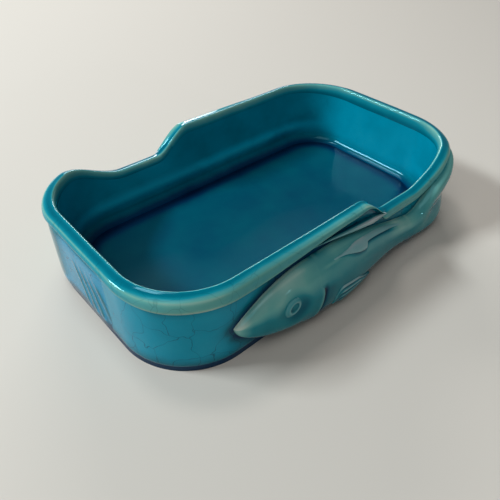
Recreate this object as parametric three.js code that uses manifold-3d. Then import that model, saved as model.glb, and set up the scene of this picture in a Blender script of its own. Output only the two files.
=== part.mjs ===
// Serving dish for a tin of fish: a rounded oblong dish with a rolled rim, a finger dip in the rim
// above each fish's tail, and a fish in relief on each long side.
// Millimetres, +Z up. The origin is the middle of the underside, at the level of the table.
// X runs along the dish and Y across it. Half a turn about Z brings the dish back onto itself.
import * as THREE from 'three';
import { mergeVertices } from 'three/addons/utils/BufferGeometryUtils.js';
import Module from 'manifold-3d';

const wasm = await Module();
wasm.setup();

// Floor and wall. Thicknesses are measured inwards from the outside of the wall.
const WALL_LENGTH = 137;
const WALL_WIDTH = 79.5;
const CORNER_RADIUS = 23.5;
const RIM_HEIGHT = 30;
const FLOOR_THICKNESS = 5;
const FLOOR_ROUNDING = 3;
const FOOT_WIDTH = 6;
const FOOT_DEPTH = 1;
const WALL_AT_TOP = 3;
const WALL_AT_COVE = 5.5;
const COVE_RADIUS = 6;
const COVE_TURN = (Math.PI * 5) / 12;

// Rim roll, which stands proud of both faces of the wall, less so along the finger dips.
const ROLL_HEIGHT = 5.2;
const ROLL_BELT = 2.6;
const ROLL_TUCK = 0.9;
const ROLL_PROUD_OUTSIDE = 1.5;
const ROLL_PROUD_INSIDE = 0.2;
const ROLL_PROUD_IN_DIP = 0.8;

// Finger dip. Distances along the wall start at the middle of the long side.
const DIP_DEPTH = 8.5;
const DIP_MIDDLE = 27.5;
const DIP_LENGTH = 12;
const DIP_STEEP_RUN = 15;
const DIP_EASY_RUN = 24;

// Fish body, from the snout to the root of the tail.
const FISH_LENGTH = 78;
const SNOUT_FROM_MIDDLE = 47;
const GIRTH_FROM_SNOUT = 35;
const GILL_FROM_SNOUT = 30.5;
const BODY_DEPTH = 22.2;
const STEM_DEPTH = 10.5;
const SNOUT_DEPTH = 4;
const BODY_BULGE = 7;
const STEM_BULGE = 4;
const SNOUT_BULGE = 1.8;
const SNOUT_LEVEL = 12.6;
const BODY_LEVEL = 12;
const STEM_LEVEL = 8;
const GILL_LIP = 0.6;
const GILL_BOW = 2;
const HEAD_FULLNESS = 0.55;
const BACK_FULLNESS = 2;
const BELLY_FULLNESS = 3.4;

// Eye, a ring round a hollow pupil, set in a socket of the head.
const EYE_FROM_SNOUT = 18.1;
const EYE_LEVEL = 13.2;
const EYE_RADIUS = 3.7;
const PUPIL_RADIUS = 1.6;
const EYE_SEAT_DEPTH = 2.4;
const EYE_RING_RISE = 0.8;

// Fins. The belly fin hangs beside the belly, the side fin lies on the flank.
const BELLY_FIN_FROM_SNOUT = 35.5;
const BELLY_FIN_LENGTH = 20.5;
const BELLY_FIN_TOP = 9.8;
const BELLY_FIN_FALL = 3.4;
const BELLY_FIN_BOTTOM = 1.3;
const BELLY_FIN_SPREAD = 5;
const FIN_THICKNESS = 0.9;
const FIN_RAY_RISE = 0.4;
const FIN_EDGE_SHARE = 0.45;
const BLUNT_END = 0.03;
const SIDE_FIN_FROM_SNOUT = 38;
const SIDE_FIN_LENGTH = 33;
const SIDE_FIN_WIDTH = 3.4;
const SIDE_FIN_RISE = 0.72;
const BACK_FIN_FROM_SNOUT = 33;
const BACK_FIN_LENGTH = 34;
const BACK_FIN_HEIGHT = 1.5;
const BACK_FIN_WIDTH = 1.7;

// Tail fin, which spreads from the stem round the corner and onto the short end.
const TAIL_LENGTH = 82;
const TAIL_SPREAD_RUN = 24;
const TAIL_FLATTEN_RUN = 48;
const TAIL_CLOSE_RUN = 12;
const TAIL_LOWEST = 1.6;
const TAIL_BELOW_ROLL = 0.8;
const TAIL_TIP_LEVEL = 4.6;
const TAIL_TIP_DEPTH = 3;
const TAIL_THICKNESS = 1.2;
const TAIL_RAY_RISE = 0.5;

// Joint left between one clay piece and the next.
const SEAM = 0.3;

// Facets
const SIDE_STEPS = 24;
const CORNER_STEPS = 8;
const END_STEPS = 4;
const FISH_STEPS = 12;
const FLANK_STEPS = 12;
const FIN_STEPS = 12;
const FIN_ROWS = 6;
const TAIL_STEPS = 26;
const TAIL_ROWS = 8;
const EYE_STEPS = 24;

// Outline of the wall: straight stretches joined by quarter circles.
const STRAIGHT_X = WALL_LENGTH / 2 - CORNER_RADIUS;
const STRAIGHT_Y = WALL_WIDTH / 2 - CORNER_RADIUS;
const QUARTER = (CORNER_RADIUS * Math.PI) / 2;
const HALF_WAY_ROUND = 2 * STRAIGHT_X + 2 * STRAIGHT_Y + 2 * QUARTER;

// Place of a point by its distance along the wall, out from the wall's outside, and up from the table.
function onWall(along, out, up) {
  const halves = Math.floor((along + STRAIGHT_X) / HALF_WAY_ROUND);
  const side = halves % 2 === 0 ? 1 : -1;
  let rest = along + STRAIGHT_X - halves * HALF_WAY_ROUND;
  let x = Math.min(rest, 2 * STRAIGHT_X) - STRAIGHT_X;
  let y = -STRAIGHT_Y;
  let turn = -Math.PI / 2;
  rest = Math.max(rest - 2 * STRAIGHT_X, 0);
  turn += Math.min(rest, QUARTER) / CORNER_RADIUS;
  rest = Math.max(rest - QUARTER, 0);
  y += Math.min(rest, 2 * STRAIGHT_Y);
  rest = Math.max(rest - 2 * STRAIGHT_Y, 0);
  turn += rest / CORNER_RADIUS;
  const reach = CORNER_RADIUS + out;
  x += reach * Math.cos(turn);
  y += reach * Math.sin(turn);
  return new THREE.Vector3(side * x, side * y, up);
}

const spaced = (from, to, steps) =>
  Array.from({ length: steps + 1 }, (_, i) => THREE.MathUtils.lerp(from, to, i / steps));

// Distances along half of the outline: a long side, a corner, a short end and a corner.
function halfRoundStations() {
  const corner = STRAIGHT_X + QUARTER;
  const end = corner + 2 * STRAIGHT_Y;
  return [
    ...spaced(-STRAIGHT_X, STRAIGHT_X, SIDE_STEPS).slice(0, -1),
    ...spaced(STRAIGHT_X, corner, CORNER_STEPS).slice(0, -1),
    ...spaced(corner, end, END_STEPS).slice(0, -1),
    ...spaced(end, end + QUARTER, CORNER_STEPS).slice(0, -1),
  ];
}

const halfStations = halfRoundStations();
const allStations = [...halfStations, ...halfStations.map((along) => along + HALF_WAY_ROUND)];

// Height of the rim along the wall, with a steep and an easy slope down to each finger dip.
const DIP_START = DIP_MIDDLE - DIP_LENGTH / 2;
const DIP_END = DIP_MIDDLE + DIP_LENGTH / 2;

function dipShare(along) {
  const into = THREE.MathUtils.euclideanModulo(along + STRAIGHT_X, HALF_WAY_ROUND) - STRAIGHT_X;
  const fall = THREE.MathUtils.smoothstep(into, DIP_START - DIP_STEEP_RUN, DIP_START);
  const rise = THREE.MathUtils.smoothstep(into, DIP_END, DIP_END + DIP_EASY_RUN);
  return fall - rise;
}

const rimLevel = (along) => RIM_HEIGHT - DIP_DEPTH * dipShare(along);
const rollUnderside = (along) => rimLevel(along) - ROLL_HEIGHT;
const lowestWallTop = RIM_HEIGHT - DIP_DEPTH - ROLL_HEIGHT - SEAM;

// Closed solid from rings of equal length. The rings join end to end, or are capped at both ends.
function loft(rings, joined = false) {
  const count = rings[0].length;
  const points = rings.flat();
  const faces = [];
  const bands = joined ? rings.length : rings.length - 1;
  for (let band = 0; band < bands; band += 1) {
    const here = band * count;
    const there = ((band + 1) % rings.length) * count;
    for (let i = 0; i < count; i += 1) {
      const j = (i + 1) % count;
      faces.push(here + i, here + j, there + j, here + i, there + j, there + i);
    }
  }
  if (!joined) {
    for (const [first, ring, turned] of [[0, rings[0], true], [bands * count, rings[bands], false]]) {
      const middle = points.length;
      points.push(ring.reduce((sum, p) => sum.add(p), new THREE.Vector3()).divideScalar(count));
      for (let i = 0; i < count; i += 1) {
        const pair = [first + i, first + ((i + 1) % count)];
        faces.push(middle, ...(turned ? pair.reverse() : pair));
      }
    }
  }
  return facingOut(points, faces);
}

// Geometry of a closed surface, turned inside out if its volume comes out negative.
function facingOut(points, faces) {
  let volume = 0;
  for (let i = 0; i < faces.length; i += 3) {
    const [a, b, c] = [points[faces[i]], points[faces[i + 1]], points[faces[i + 2]]];
    volume += a.dot(new THREE.Vector3().crossVectors(b, c));
  }
  const geometry = new THREE.BufferGeometry();
  const places = points.flatMap((point) => point.toArray());
  geometry.setAttribute('position', new THREE.Float32BufferAttribute(places, 3));
  geometry.setIndex(volume > 0 ? faces : faces.reverse());
  return geometry;
}

// Solid for a boolean cut, from a geometry in its final place.
function solidOf(geometry) {
  const bare = geometry.clone();
  bare.deleteAttribute('normal');
  bare.deleteAttribute('uv');
  const merged = mergeVertices(bare);
  return new wasm.Manifold(new wasm.Mesh({
    numProp: 3,
    vertProperties: new Float32Array(merged.attributes.position.array),
    triVerts: new Uint32Array(merged.index.array),
  }));
}

function geometryOf(solid) {
  const mesh = solid.getMesh();
  const geometry = new THREE.BufferGeometry();
  geometry.setAttribute('position', new THREE.Float32BufferAttribute(mesh.vertProperties, 3));
  geometry.setIndex(Array.from(mesh.triVerts));
  return geometry;
}

// Glazes, by how thick the glaze lies.
const GLAZE = {
  pooled: { color: 0x0a5a70, roughness: 0.12 },
  wall: { color: 0x0f8496, roughness: 0.12 },
  rim: { color: 0x2fa3ae, roughness: 0.1 },
  relief: { color: 0x4a9196, roughness: 0.15 },
  ridge: { color: 0x76a8a4, roughness: 0.18 },
};

function piece(name, geometry, glaze) {
  const mesh = new THREE.Mesh(geometry, new THREE.MeshStandardMaterial({ metalness: 0, ...glaze }));
  mesh.name = name;
  return mesh;
}

// Cove inside the wall, as steps out from the wall and up from the table. It ends in a toe on the floor.
function coveSteps() {
  const radius = Math.min(COVE_RADIUS, lowestWallTop - FLOOR_THICKNESS - SEAM);
  return spaced(0, COVE_TURN, 3).map((turn) => [
    radius * (Math.cos(turn) - 1) - WALL_AT_COVE,
    FLOOR_THICKNESS + radius * (1 - Math.sin(turn)),
  ]);
}

const cove = coveSteps();
const toe = [cove.at(-1)[0], FLOOR_THICKNESS];

// Floor slab: flat on top, rounded at its outer edge, and hollowed underneath inside a foot.
// Its top is in two parts, one under the wall and one open to the well.
function floorSlab() {
  const radius = Math.min(FLOOR_ROUNDING, FLOOR_THICKNESS - SEAM);
  const inFoot = radius + FOOT_WIDTH;
  const rounding = spaced(0, Math.PI / 2, 4).map((turn) => [
    radius * (Math.sin(turn) - 1),
    radius * (1 - Math.cos(turn)),
  ]);
  const well = [toe[0] - SEAM, FLOOR_THICKNESS];
  const hollow = [-inFoot - FOOT_DEPTH, FOOT_DEPTH];
  const edge = [hollow, [-inFoot, 0], ...rounding, [0, FLOOR_THICKNESS], well];
  return loft(edge.map(([out, up]) => allStations.map((along) => onWall(along, out, up))));
}

// Wall: upright outside, leaning inside, with a cove where it meets the floor.
function wallBand() {
  return loft(allStations.map((along) => {
    const top = rollUnderside(along) - SEAM;
    const section = [[0, FLOOR_THICKNESS], [0, top], [-WALL_AT_TOP, top], ...cove, toe];
    return section.map(([out, up]) => onWall(along, out, up));
  }), true);
}

// Rim roll: starts with a blunt tip at the foot of one dip's steep slope, runs back along the side and
// round the end, and thins as it goes down the easy slope of the other dip.
function rimRoll() {
  const tip = DIP_START;
  const far = tip - HALF_WAY_ROUND + SEAM;
  const between = allStations.map((along) => along - HALF_WAY_ROUND);
  const stations = [far, ...between.filter((along) => along > far + SEAM && along < tip - SEAM), tip];
  const sinkStart = DIP_END + DIP_EASY_RUN - HALF_WAY_ROUND;
  const sinkEnd = DIP_END - HALF_WAY_ROUND;
  const inside = WALL_AT_TOP + ROLL_PROUD_INSIDE;
  return loft(stations.map((along) => {
    const risen = THREE.MathUtils.smoothstep(along, sinkEnd, sinkStart);
    const proud = THREE.MathUtils.lerp(ROLL_PROUD_IN_DIP, ROLL_PROUD_OUTSIDE, risen);
    const width = inside + proud;
    const crown = spaced(0, Math.PI, 6).map((turn) => [
      proud - (width / 2) * (1 + Math.cos(turn)),
      ROLL_BELT + (ROLL_HEIGHT - ROLL_BELT) * Math.sin(turn),
    ]);
    const section = [[-WALL_AT_TOP, 0], ...crown, [proud - ROLL_TUCK, 0]];
    const bottom = rollUnderside(along);
    return section.map(([out, up]) => onWall(along, out, bottom + up));
  }));
}

// Fish body. A section is half an oval on the wall, told by its half depth, level and bulge.
const SNOUT = -SNOUT_FROM_MIDDLE;
const AFTER_GIRTH = FISH_LENGTH - GIRTH_FROM_SNOUT;
const BACK_FIN_END = BACK_FIN_FROM_SNOUT + BACK_FIN_LENGTH;

const quarterWave = (share) => Math.cos((Math.PI / 2) * share);

// Section from its share of the girth, between the girth and the smaller end that it lies towards.
function sectionTowards(depth, level, bulge, swell, away) {
  return {
    half: THREE.MathUtils.lerp(depth, BODY_DEPTH, swell) / 2,
    level: THREE.MathUtils.lerp(BODY_LEVEL, level, away ** 2),
    bulge: THREE.MathUtils.lerp(bulge, BODY_BULGE, swell),
  };
}

// The back stays under the rim roll, with room for the back fin where the fish has one.
function bodySection(fromSnout) {
  const ahead = Math.max(1 - fromSnout / GIRTH_FROM_SNOUT, 0);
  const behind = THREE.MathUtils.clamp((fromSnout - GIRTH_FROM_SNOUT) / AFTER_GIRTH, 0, 1);
  const { half, level, bulge } = ahead > 0
    ? sectionTowards(SNOUT_DEPTH, SNOUT_LEVEL, SNOUT_BULGE, quarterWave(ahead) ** HEAD_FULLNESS, ahead)
    : sectionTowards(STEM_DEPTH, STEM_LEVEL, STEM_BULGE, quarterWave(behind) ** 2, behind);
  const finned = fromSnout > BACK_FIN_FROM_SNOUT && fromSnout < BACK_FIN_END;
  const room = SEAM + (finned ? BACK_FIN_HEIGHT + SEAM : 0);
  const back = Math.min(level + half, rollUnderside(SNOUT + fromSnout) - room);
  const belly = level - half;
  return { half: (back - belly) / 2, level: (back + belly) / 2, bulge };
}

// Share of the bulge at a height between the back, at 1, and the belly, at -1.
function bulgeShare(height) {
  const fullness = height > 0 ? BACK_FULLNESS : BELLY_FULLNESS;
  return (1 - Math.min(Math.abs(height), 1) ** fullness) ** (1 / fullness);
}

// How far the flank stands out from the wall, a seam and no more above the back and below the belly.
function flankOut(fromSnout, up) {
  const { half, level, bulge } = bodySection(fromSnout);
  return SEAM + bulge * bulgeShare((up - level) / half);
}

// Edge of the gill cover, which bows back in the middle of the flank.
function gillBow(up) {
  const { half, level } = bodySection(GILL_FROM_SNOUT);
  return GILL_BOW * (1 - ((up - level) / half) ** 2);
}

// Half oval rings between two distances from the snout, bowed at the gill cover's edge.
function bodyRings(from, to, lip, bowAt) {
  return spaced(from, to, FISH_STEPS).map((fromSnout) => {
    const { half, level, bulge } = bodySection(fromSnout);
    const share = THREE.MathUtils.smoothstep(Math.abs(fromSnout - bowAt), 0, GILL_FROM_SNOUT / 2);
    const proud = lip * THREE.MathUtils.smoothstep(fromSnout, 0, GILL_FROM_SNOUT);
    return spaced(0, Math.PI, FLANK_STEPS).map((turn) => {
      const up = level + half * Math.cos(turn);
      const along = SNOUT + fromSnout + (1 - share) * gillBow(up);
      return onWall(along, SEAM + (bulge + proud) * bulgeShare(Math.cos(turn)), up);
    });
  });
}

const EYE_SEAT = flankOut(EYE_FROM_SNOUT, EYE_LEVEL) - EYE_SEAT_DEPTH;

// Head, from the snout to the edge of the gill cover, with a round socket for the eye.
function fishHead() {
  const head = solidOf(loft(bodyRings(0, GILL_FROM_SNOUT, GILL_LIP, GILL_FROM_SNOUT)));
  const reach = EYE_SEAT_DEPTH + BODY_BULGE;
  const bore = new THREE.CylinderGeometry(EYE_RADIUS + SEAM, EYE_RADIUS + SEAM, reach, EYE_STEPS);
  const { x, y, z } = onWall(SNOUT + EYE_FROM_SNOUT, EYE_SEAT + reach / 2, EYE_LEVEL);
  bore.translate(x, y, z);
  return geometryOf(head.subtract(solidOf(bore)));
}

// Trunk, from behind the gill cover to the stem of the tail.
function fishTrunk() {
  const start = GILL_FROM_SNOUT + SEAM;
  return loft(bodyRings(start, FISH_LENGTH, 0, start));
}

// Eye: a button whose rim stands up round a hollow pupil. Its axis is upright until it is placed.
function fishEye() {
  const ringTop = EYE_SEAT_DEPTH + EYE_RING_RISE;
  const ringMiddle = (EYE_RADIUS + PUPIL_RADIUS) / 2;
  const profile = [
    new THREE.Vector2(0, 0),
    new THREE.Vector2(EYE_RADIUS, 0),
    new THREE.Vector2(EYE_RADIUS, EYE_SEAT_DEPTH),
    new THREE.Vector2((EYE_RADIUS + ringMiddle) / 2, ringTop - EYE_RING_RISE / 4),
    new THREE.Vector2(ringMiddle, ringTop),
    new THREE.Vector2(PUPIL_RADIUS, ringTop - EYE_RING_RISE / 2),
    new THREE.Vector2(0, ringTop - EYE_RING_RISE),
  ];
  return new THREE.LatheGeometry(profile, EYE_STEPS);
}

// Thin plate over a stretch of the wall. Its edges, seat and face are given at each place along it.
function plate(stations, rows, edgesAt, seatAt, faceAt) {
  return loft(stations.map((along, i) => {
    const v = i / (stations.length - 1);
    const [low, high] = edgesAt(v);
    const levels = spaced(low, high, rows);
    const face = levels.map((up, row) => onWall(along, faceAt(v, row / rows, up), up));
    const seat = levels.map((up) => onWall(along, seatAt(v, up), up));
    return [...face, ...seat.reverse()];
  }));
}

// Half wave that stays a little above nothing at both ends.
const bluntWave = (v) => Math.sin(Math.PI * THREE.MathUtils.clamp(v, BLUNT_END, 1 - BLUNT_END));
const roundedEnds = (v) => Math.sqrt(bluntWave(v));

// Belly fin: hangs from the flank behind the gill cover, with raised rays. Its seat follows the belly's
// underside as well as the flank, so it clears the body both ways.
function bellyFin() {
  const start = SNOUT + BELLY_FIN_FROM_SNOUT;
  const distance = (v) => BELLY_FIN_FROM_SNOUT + v * BELLY_FIN_LENGTH;
  const edges = (v) => {
    const top = BELLY_FIN_TOP - v * BELLY_FIN_FALL;
    const middle = (top + BELLY_FIN_BOTTOM) / 2;
    const half = ((top - BELLY_FIN_BOTTOM) / 2) * roundedEnds(v);
    return [middle - half, middle + half];
  };
  const seat = (v, up) => flankOut(distance(v), up + 2 * SEAM) + SEAM;
  const face = (v, row, up) => {
    const hang = THREE.MathUtils.lerp(BELLY_FIN_SPREAD, seat(v, BELLY_FIN_TOP), row);
    const ray = Math.round(row * FIN_ROWS) % 2 === 1 ? FIN_RAY_RISE : 0;
    return Math.max(hang, seat(v, up)) + FIN_THICKNESS / 2 + ray;
  };
  return plate(spaced(start, start + BELLY_FIN_LENGTH, FIN_STEPS), FIN_ROWS, edges, seat, face);
}

// Side fin: a leaf that lies along the upper flank.
function sideFin() {
  const start = SNOUT + SIDE_FIN_FROM_SNOUT;
  const distance = (v) => SIDE_FIN_FROM_SNOUT + v * SIDE_FIN_LENGTH;
  const edges = (v) => {
    const { half, level } = bodySection(distance(v));
    const middle = level + half * SIDE_FIN_RISE;
    const spread = (SIDE_FIN_WIDTH / 2) * roundedEnds(v);
    return [middle - spread, middle + spread];
  };
  const seat = (v, up) => flankOut(distance(v), up) + SEAM;
  const swell = (row) => THREE.MathUtils.lerp(FIN_EDGE_SHARE, 1, Math.sin(Math.PI * row));
  const face = (v, row, up) => seat(v, up) + FIN_THICKNESS * swell(row);
  return plate(spaced(start, start + SIDE_FIN_LENGTH, FIN_STEPS), FIN_ROWS, edges, seat, face);
}

// Back fin: a low ridge on the wall, along the fish's back and under the rim roll.
function backFin() {
  const start = SNOUT + BACK_FIN_FROM_SNOUT;
  const edges = (v) => {
    const { half, level } = bodySection(BACK_FIN_FROM_SNOUT + v * BACK_FIN_LENGTH);
    const foot = level + half + SEAM;
    return [foot, foot + BACK_FIN_HEIGHT * roundedEnds(v)];
  };
  const seat = () => SEAM;
  const face = (v, row) => SEAM + BACK_FIN_WIDTH * THREE.MathUtils.lerp(1, FIN_EDGE_SHARE, row);
  return plate(spaced(start, start + BACK_FIN_LENGTH, FIN_STEPS), FIN_ROWS, edges, seat, face);
}

// Tail fin: starts with the stem's section, parts into two lobes that flatten as they fan out under the
// rim roll, and sweeps down to a narrow tip.
function tailFin() {
  const start = SNOUT + FISH_LENGTH + SEAM;
  const spreadShare = TAIL_SPREAD_RUN / TAIL_LENGTH;
  const closeShare = TAIL_CLOSE_RUN / TAIL_LENGTH;
  const flattenShare = TAIL_FLATTEN_RUN / TAIL_LENGTH;
  const edges = (v) => {
    const opened = THREE.MathUtils.smoothstep(v, 0, spreadShare);
    const closed = THREE.MathUtils.smoothstep(v, 1 - closeShare, 1);
    const ceiling = rollUnderside(start + v * TAIL_LENGTH) - TAIL_BELOW_ROLL;
    const low = THREE.MathUtils.lerp(STEM_LEVEL - STEM_DEPTH / 2, TAIL_LOWEST, opened);
    const high = THREE.MathUtils.lerp(STEM_LEVEL + STEM_DEPTH / 2, ceiling, opened);
    return [
      THREE.MathUtils.lerp(low, TAIL_TIP_LEVEL - TAIL_TIP_DEPTH / 2, closed),
      THREE.MathUtils.lerp(high, TAIL_TIP_LEVEL + TAIL_TIP_DEPTH / 2, closed),
    ];
  };
  const seat = () => SEAM;
  const face = (v, row) => {
    const opened = THREE.MathUtils.smoothstep(v, 0, spreadShare);
    const flat = THREE.MathUtils.smoothstep(v, 0, flattenShare);
    const lobes = Math.abs(Math.sin(2 * Math.PI * row));
    const stem = STEM_BULGE * THREE.MathUtils.lerp(bluntWave(row), lobes, opened);
    const ray = Math.round(row * TAIL_ROWS) % 2 === 1 ? TAIL_RAY_RISE : 0;
    return SEAM + THREE.MathUtils.lerp(stem, TAIL_THICKNESS + ray, flat);
  };
  return plate(spaced(start, start + TAIL_LENGTH, TAIL_STEPS), TAIL_ROWS, edges, seat, face);
}

// One fish, head to the left as seen from its own side.
function fish(name) {
  const group = new THREE.Group();
  const eye = piece(`${name}_eye`, fishEye(), GLAZE.ridge);
  eye.rotation.x = Math.PI;
  eye.position.copy(onWall(SNOUT + EYE_FROM_SNOUT, EYE_SEAT + SEAM, EYE_LEVEL));
  group.add(
    piece(`${name}_head`, fishHead(), GLAZE.relief),
    piece(`${name}_trunk`, fishTrunk(), GLAZE.relief),
    eye,
    piece(`${name}_belly_fin`, bellyFin(), GLAZE.ridge),
    piece(`${name}_side_fin`, sideFin(), GLAZE.ridge),
    piece(`${name}_back_fin`, backFin(), GLAZE.ridge),
    piece(`${name}_tail_fin`, tailFin(), GLAZE.relief),
  );
  return group;
}

// Half of what the rim and the sides carry. The other half is the same, turned half way round.
function half(side, turn) {
  const group = new THREE.Group();
  group.add(piece(`${side}_rim_roll`, rimRoll(), GLAZE.rim), fish(`${side}_fish`));
  group.rotation.z = turn;
  return group;
}

const dish = new THREE.Group();
dish.add(
  piece('floor_slab', floorSlab(), GLAZE.pooled),
  piece('wall_band', wallBand(), GLAZE.wall),
  half('front', 0),
  half('back', Math.PI),
);

export default dish;
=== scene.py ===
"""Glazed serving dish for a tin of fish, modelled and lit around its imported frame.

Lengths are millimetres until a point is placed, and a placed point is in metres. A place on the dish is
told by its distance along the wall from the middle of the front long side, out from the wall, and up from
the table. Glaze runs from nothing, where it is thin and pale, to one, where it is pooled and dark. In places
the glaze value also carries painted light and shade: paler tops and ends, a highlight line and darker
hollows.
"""

import logging
import math
from dataclasses import dataclass, field
from enum import Enum

import bpy
import numpy as np
from mathutils import Matrix, Vector
from mathutils.bvhtree import BVHTree


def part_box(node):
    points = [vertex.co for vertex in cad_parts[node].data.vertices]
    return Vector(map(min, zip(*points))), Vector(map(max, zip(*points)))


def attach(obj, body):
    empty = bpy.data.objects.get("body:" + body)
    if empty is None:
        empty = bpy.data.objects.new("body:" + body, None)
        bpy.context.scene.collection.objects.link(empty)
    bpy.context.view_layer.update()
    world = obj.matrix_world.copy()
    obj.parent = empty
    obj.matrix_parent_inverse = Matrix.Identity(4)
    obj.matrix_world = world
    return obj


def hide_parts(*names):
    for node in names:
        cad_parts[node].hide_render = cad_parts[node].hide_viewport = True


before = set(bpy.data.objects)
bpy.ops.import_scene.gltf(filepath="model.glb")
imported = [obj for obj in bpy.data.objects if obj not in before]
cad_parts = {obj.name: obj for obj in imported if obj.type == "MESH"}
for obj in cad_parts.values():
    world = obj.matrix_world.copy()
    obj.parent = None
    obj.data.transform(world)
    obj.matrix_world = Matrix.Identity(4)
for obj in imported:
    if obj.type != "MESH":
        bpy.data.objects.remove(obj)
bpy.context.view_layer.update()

MM = 0.001
HAIR = 0.001
IMAGE_WIDTH = 500
# Per-point value that picks the glaze colour: glaze thickness, with painted light and shade added in places.
GLAZE_MARK = "glaze"
CRACK_MARK = "cracks"
GOLDEN_TURN = math.pi * (3 - math.sqrt(5))
SCREEN_FULL = 255
SCREEN_DARK_END = 0.04045
SCREEN_DARK_SLOPE = 12.92
SCREEN_SHIFT = 0.055
SCREEN_POWER = 2.4
Pair = tuple[float, float]
Shade = tuple[int, int, int]
log = logging.getLogger("dish")


class Side(Enum):
    """The two long sides of the dish, each with its fish and its rim roll."""

    FRONT = "front"
    BACK = "back"


class Slot(Enum):
    """Finishes that each glaze is sorted into."""

    POOLED = "pooled"
    WALL = "wall"
    RIM = "rim"
    RELIEF = "relief"
    RIDGE = "ridge"


@dataclass(frozen=True)
class Rise:
    """Soft change from nothing at its start to one at its end."""

    start: float
    end: float

    def at(self, value: np.ndarray) -> np.ndarray:
        """Share of the change at a value."""
        share = np.clip((value - self.start) / (self.end - self.start), 0.0, 1.0)
        return share * share * (3.0 - 2.0 * share)


@dataclass(frozen=True)
class Stretch:
    """Soft change that comes in over one run and goes out over another."""

    start: float
    full: float
    fading: float
    end: float

    def at(self, value: np.ndarray) -> np.ndarray:
        """Share of the change at a value."""
        return Rise(self.start, self.full).at(value) * (1 - Rise(self.fading, self.end).at(value))


@dataclass(frozen=True)
class Hump:
    """Soft hump of height one round its middle."""

    middle: float
    width: float

    def at(self, value: np.ndarray) -> np.ndarray:
        """Share of the hump's height at a value."""
        return np.exp(-(((value - self.middle) / self.width) ** 2))


@dataclass(frozen=True)
class Slope:
    """Steepening change from nothing at its start to one at the end of its run."""

    start: float
    run: float
    power: float

    def at(self, value: np.ndarray) -> np.ndarray:
        """Share of the change at a value."""
        return np.clip((value - self.start) / self.run, 0.0, 1.0) ** self.power


def blend(start: np.ndarray, end: np.ndarray, share: np.ndarray) -> np.ndarray:
    """Go from start to end by a share."""
    return start + (end - start) * share


def rounding(share: np.ndarray) -> np.ndarray:
    """Rise along a quarter of a circle, from nothing to one."""
    return np.sqrt(np.clip(1 - (1 - np.clip(share, 0.0, 1.0)) ** 2, 0.0, 1.0))


def tapering(share: np.ndarray) -> np.ndarray:
    """Rise along half a parabola, from nothing to one."""
    return np.sqrt(np.clip(share, 0.0, 1.0))


def closed_curve(points: tuple[Pair, ...], steps: int) -> np.ndarray:
    """Draw a smooth closed outline through its points.

    Args:
        points: corners of the outline, in order.
        steps: places on each stretch between two corners.

    Returns:
        The places on the outline, one row each.
    """
    here = np.asarray(points, float)[:, None, :]
    before, after, beyond = np.roll(here, 1, 0), np.roll(here, -1, 0), np.roll(here, -2, 0)
    share = (np.arange(steps) / steps)[None, :, None]
    curve = 2 * here + (after - before) * share
    curve = curve + (2 * before - 5 * here + 4 * after - beyond) * share**2
    curve = curve + (3 * here - before - 3 * after + beyond) * share**3
    return (curve / 2).reshape(-1, 2)


def linear(shade: Shade) -> tuple[float, float, float, float]:
    """Turn a screen colour into the renderer's own scale.

    Args:
        shade: red, green and blue, each from 0 to 255.

    Returns:
        The colour from 0 to 1, with its cover.
    """
    parts = np.array(shade) / SCREEN_FULL
    bright = ((parts + SCREEN_SHIFT) / (1 + SCREEN_SHIFT)) ** SCREEN_POWER
    red, green, blue = np.where(parts <= SCREEN_DARK_END, parts / SCREEN_DARK_SLOPE, bright).tolist()
    return red, green, blue, 1.0


def add_node(tree: bpy.types.NodeTree, kind: str, inputs: dict | None = None,
             **choices: str) -> bpy.types.Node:
    """Add a shader node with its choices and the values or links of its inputs.

    Args:
        tree: the material's nodes.
        kind: the node's type.
        inputs: a value, or another node's output, for each input by its name or place.
        choices: the node's own settings.

    Returns:
        The new node.
    """
    node = tree.nodes.new(f"ShaderNode{kind}")
    for name, choice in choices.items():
        setattr(node, name, choice)
    for key, value in (inputs or {}).items():
        if isinstance(value, bpy.types.NodeSocket):
            tree.links.new(value, node.inputs[key])
        else:
            node.inputs[key].default_value = value
    return node


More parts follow.
